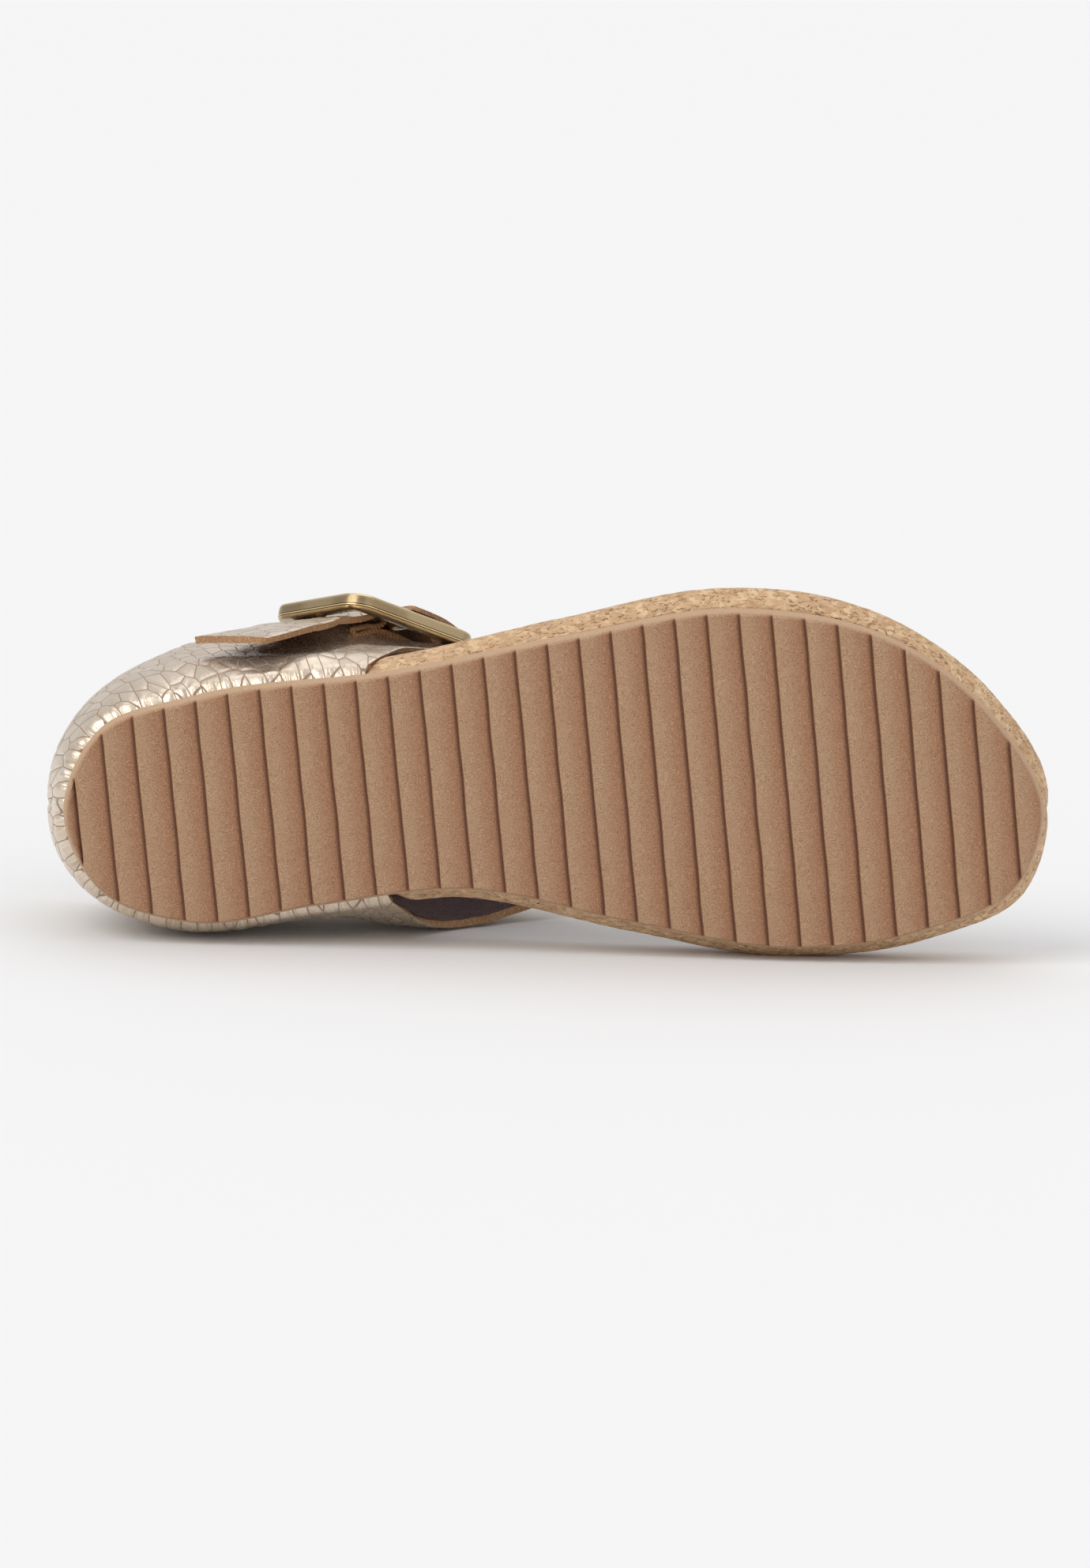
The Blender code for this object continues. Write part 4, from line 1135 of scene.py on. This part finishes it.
def make_elastic():
    bm = bmesh.new()
    ply_gap_shade = bm.verts.layers.float.new("ply_gap_shade")
    for cord in range(CORD_COUNT):
        aside = (cord / (CORD_COUNT - 1) - 0.5) * (ELASTIC_WIDTH - 2 * CORD_RADIUS)
        path = smooth_through([buckle_point(*row) for row in ELASTIC_ROUTE], CORD_STEPS + 1)
        path = path + np.array(ACROSS) * aside
        tangent = unit(np.gradient(path, axis=0))
        up = np.cross(tangent, np.array(ACROSS))
        step = np.linalg.norm(np.diff(path, axis=0), axis=1).mean()
        grid = bmesh.ops.create_grid(bm, x_segments=CORD_STEPS, y_segments=CORD_SIDES, size=0.5)["verts"]
        hand = 1 if cord % 2 else -1
        for vert in grid:
            i = round((vert.co.x + 0.5) * CORD_STEPS)
            angle = (vert.co.y + 0.5) * 2 * math.pi
            lay = hand * 2 * math.pi * i * step / CORD_LAY
            crown = abs(math.cos(angle + lay))
            radius = CORD_RADIUS * (1 + CORD_PLY * (crown - PLY_MIDDLE))
            # Painted shade: 1 deep between the plies, 0 on their crowns.
            vert[ply_gap_shade] = 1 - crown
            around = np.array(ACROSS) * math.cos(angle) + up[i] * math.sin(angle)
            vert.co = Vector(path[i] + around * radius)
    bmesh.ops.remove_doubles(bm, verts=bm.verts, dist=CORD_WELD)
    close_up(bm, open_edges(bm))
    return lay_down("braided_elastic", bm, [braided_cord()], sharp_deg=60)


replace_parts(make_elastic(), "elastic_gore")

# The buckle: a slide of cast brass, antiqued and brushed: a rounded frame with a centre bar. The
# threaded strap and the elastic hold it in place.
BUCKLE_LENGTH = 43.5
BUCKLE_WIDTH = 37
BUCKLE_CORNER = 6.5
BUCKLE_BAR_WIDTH = 4.8
CORNER_STEPS = 14
# Section of the frame's bar. Columns: across the bar from its inner side, out, polish with painted
# highlight; a groove is at -1.
BAR_SECTION = (
    (0, -1.3, 0.3), (0, -0.35, 0.3), (0.22, -0.2, -1), (0, -0.05, 0.3), (0, 0.55, 0.3), (0.22, 0.7, -1),
    (0, 0.85, 0.4), (0.05, 1.3, 0.5), (0.3, 1.8, 1), (0.9, 2.1, 0.6), (2.4, 2.16, 0.2), (3.9, 2.1, 0.5),
    (4.5, 1.8, 0.9), (4.75, 1.3, 0.4), (4.8, 0.5, 0), (4.8, -0.7, 0.2), (4.6, -0.82, -1), (4.8, -0.94, 0.9),
    (4.78, -1.2, 0.9), (4.55, -1.32, -1), (4.66, -1.45, 0.8), (4.4, -1.8, 0.4), (3.8, -2.1, 0),
    (1, -2.1, 0), (0.3, -1.8, 0.5),
)
CENTRE_BAR_RADIUS = 1.75
CENTRE_BAR_SIDES = 32
BRASS = srgb(174, 154, 120)
BRASS_DARK = srgb(148, 128, 97)
BRASS_POLISH_HIGHLIGHT = srgb(236, 212, 164)
BRASS_SOILED = srgb(70, 52, 34)


def antique_brass():
    made, tree, shader = finish("antique_brass", 0.3, 1)
    fine, broad = grain(tree, 1200)
    at = here(tree)
    drawn_out = node(tree, "Mapping", {"Vector": at, "Scale": (400, 7000, 7000)}).outputs[0]
    brushed = clouds(tree, drawn_out, 1, 3).outputs["Fac"]
    polish_and_highlight = mark(tree, "polish_and_highlight")
    colour = mixed(tree, between(tree, broad, 0.2, 0.9), BRASS, BRASS_DARK)
    # Polished wear on the bar's edges, brightened further as a painted highlight.
    colour = mixed(tree, between(tree, polish_and_highlight, 0.1, 1), colour, BRASS_POLISH_HIGHLIGHT)
    colour = mixed(tree, between(tree, polish_and_highlight, 0, -0.9), colour, BRASS_SOILED)
    feed(shader, "Base Color", colour)
    feed(shader, "Roughness", between(tree, brushed, 0.3, 0.7, 0.18, 0.30))
    height = maths(tree, "ADD", brushed, times(tree, fine, 0.15))
    raise_surface(tree, shader, height, 0.02)
    return made


def make_buckle():
    bm = bmesh.new()
    reach = BUCKLE_LENGTH / 2 - BUCKLE_BAR_WIDTH
    half_long = BUCKLE_LENGTH / 2 - BUCKLE_CORNER
    half_wide = BUCKLE_WIDTH / 2 - BUCKLE_CORNER
    polish_and_highlight = bm.verts.layers.float.new("polish_and_highlight")
    verts = [bm.verts.new((reach + across, -half_wide, out)) for across, out, _ in BAR_SECTION]
    for vert, row in zip(verts, BAR_SECTION):
        vert[polish_and_highlight] = row[2]
    edges = [bm.edges.new((verts[i - 1], verts[i])) for i in range(len(verts))]
    for turn, (side_x, side_y) in enumerate(((1, 1), (-1, 1), (-1, -1), (1, -1))):
        grown = bmesh.ops.extrude_edge_only(bm, edges=edges)["geom"]
        verts = of_kind(grown, bmesh.types.BMVert)
        edges = of_kind(grown, bmesh.types.BMEdge)
        run = Vector(((0, 1), (-1, 0), (0, -1), (1, 0))[turn]).to_3d()
        bmesh.ops.translate(bm, verts=verts, vec=run * 2 * (half_long if turn % 2 else half_wide))
        swept = bmesh.ops.spin(bm, geom=verts + edges, cent=(side_x * half_long, side_y * half_wide, 0),
                               axis=(0, 0, 1), angle=math.pi / 2, steps=CORNER_STEPS)
        edges = of_kind(swept["geom_last"], bmesh.types.BMEdge)
    bmesh.ops.remove_doubles(bm, verts=bm.verts, dist=WELD)
    bmesh.ops.recalc_face_normals(bm, faces=bm.faces)
    upright = Matrix.Rotation(math.pi / 2, 4, "X")
    bmesh.ops.create_cone(bm, cap_ends=True, segments=CENTRE_BAR_SIDES, radius1=CENTRE_BAR_RADIUS,
                          radius2=CENTRE_BAR_RADIUS, depth=BUCKLE_WIDTH - BUCKLE_BAR_WIDTH, matrix=upright)
    turn = Matrix((ALONG, ACROSS, OUT)).transposed().to_4x4()
    bmesh.ops.transform(bm, matrix=Matrix.Translation(BUCKLE_CENTRE) @ turn, verts=bm.verts)
    return lay_down("slide_buckle", bm, [antique_brass()], sharp_deg=38)


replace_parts(make_buckle(), "buckle")

# The studio: a pale floor far wider than the view, a pale surround, a broad soft light from the upper
# left, a weaker one from the right and one overhead. The camera looks squarely at the tread, a little
# from above.
FLOOR_PALE = srgb(234, 234, 234)
FLOOR_REACH = 14
SURROUND = srgb(246, 246, 247)
SURROUND_STRENGTH = 0.74
PHOTO_TALL = 1986
PIXELS_PER_MM = 4.893
VIEW_TILT = math.radians(9)
VIEW_DISTANCE = 2
VIEW_MIDDLE = Vector((123.6, -3.47, 0))
SENSOR = 36
# Columns: name, where it shines from, strength, width in degrees.
LIGHTS = (
    ("key_light", (-1, -0.9, 1.3), 1.15, 45),
    ("side_light", (1, -0.5, 0.6), 0.25, 60),
    ("top_light", (0.05, 0.4, 0.9), 0.5, 55),
)

bm = bmesh.new()
bmesh.ops.create_grid(bm, x_segments=1, y_segments=1, size=FLOOR_REACH)
floor_mesh = bpy.data.meshes.new("floor")
bm.to_mesh(floor_mesh)
bm.free()
paper, _, paper_shader = finish("floor_paper", 0.9)
paper_shader.inputs["Base Color"].default_value = FLOOR_PALE
floor_mesh.materials.append(paper)
studio_floor = bpy.data.objects.new("floor", floor_mesh)
add_to_scene(studio_floor)

world = bpy.data.worlds.new("studio")
world.use_nodes = True
world.node_tree.nodes["Background"].inputs["Color"].default_value = SURROUND
world.node_tree.nodes["Background"].inputs["Strength"].default_value = SURROUND_STRENGTH
bpy.context.scene.world = world
bpy.context.scene.view_settings.view_transform = "Standard"

aim = SHOE @ VIEW_MIDDLE
for name, place, strength, wide_deg in LIGHTS:
    lamp = bpy.data.lights.new(name, "SUN")
    lamp.energy = strength
    lamp.angle = math.radians(wide_deg)
    lit = bpy.data.objects.new(name, lamp)
    lit.rotation_euler = (-Vector(place)).to_track_quat("-Z", "Y").to_euler()
    add_to_scene(lit)

camera = bpy.data.cameras.new("camera")
camera.sensor_width = SENSOR
camera.lens = SENSOR * VIEW_DISTANCE / (PHOTO_TALL / PIXELS_PER_MM * MM)
right = lying @ Vector((1, 0, 0))
upward = lying @ Vector((0, -math.cos(VIEW_TILT), math.sin(VIEW_TILT)))
back = right.cross(upward)
view = bpy.data.objects.new("camera", camera)
view.matrix_world = (Matrix.Translation(aim + back * VIEW_DISTANCE)
                     @ Matrix((right, upward, back)).transposed().to_4x4())
add_to_scene(view)
bpy.context.scene.camera = view
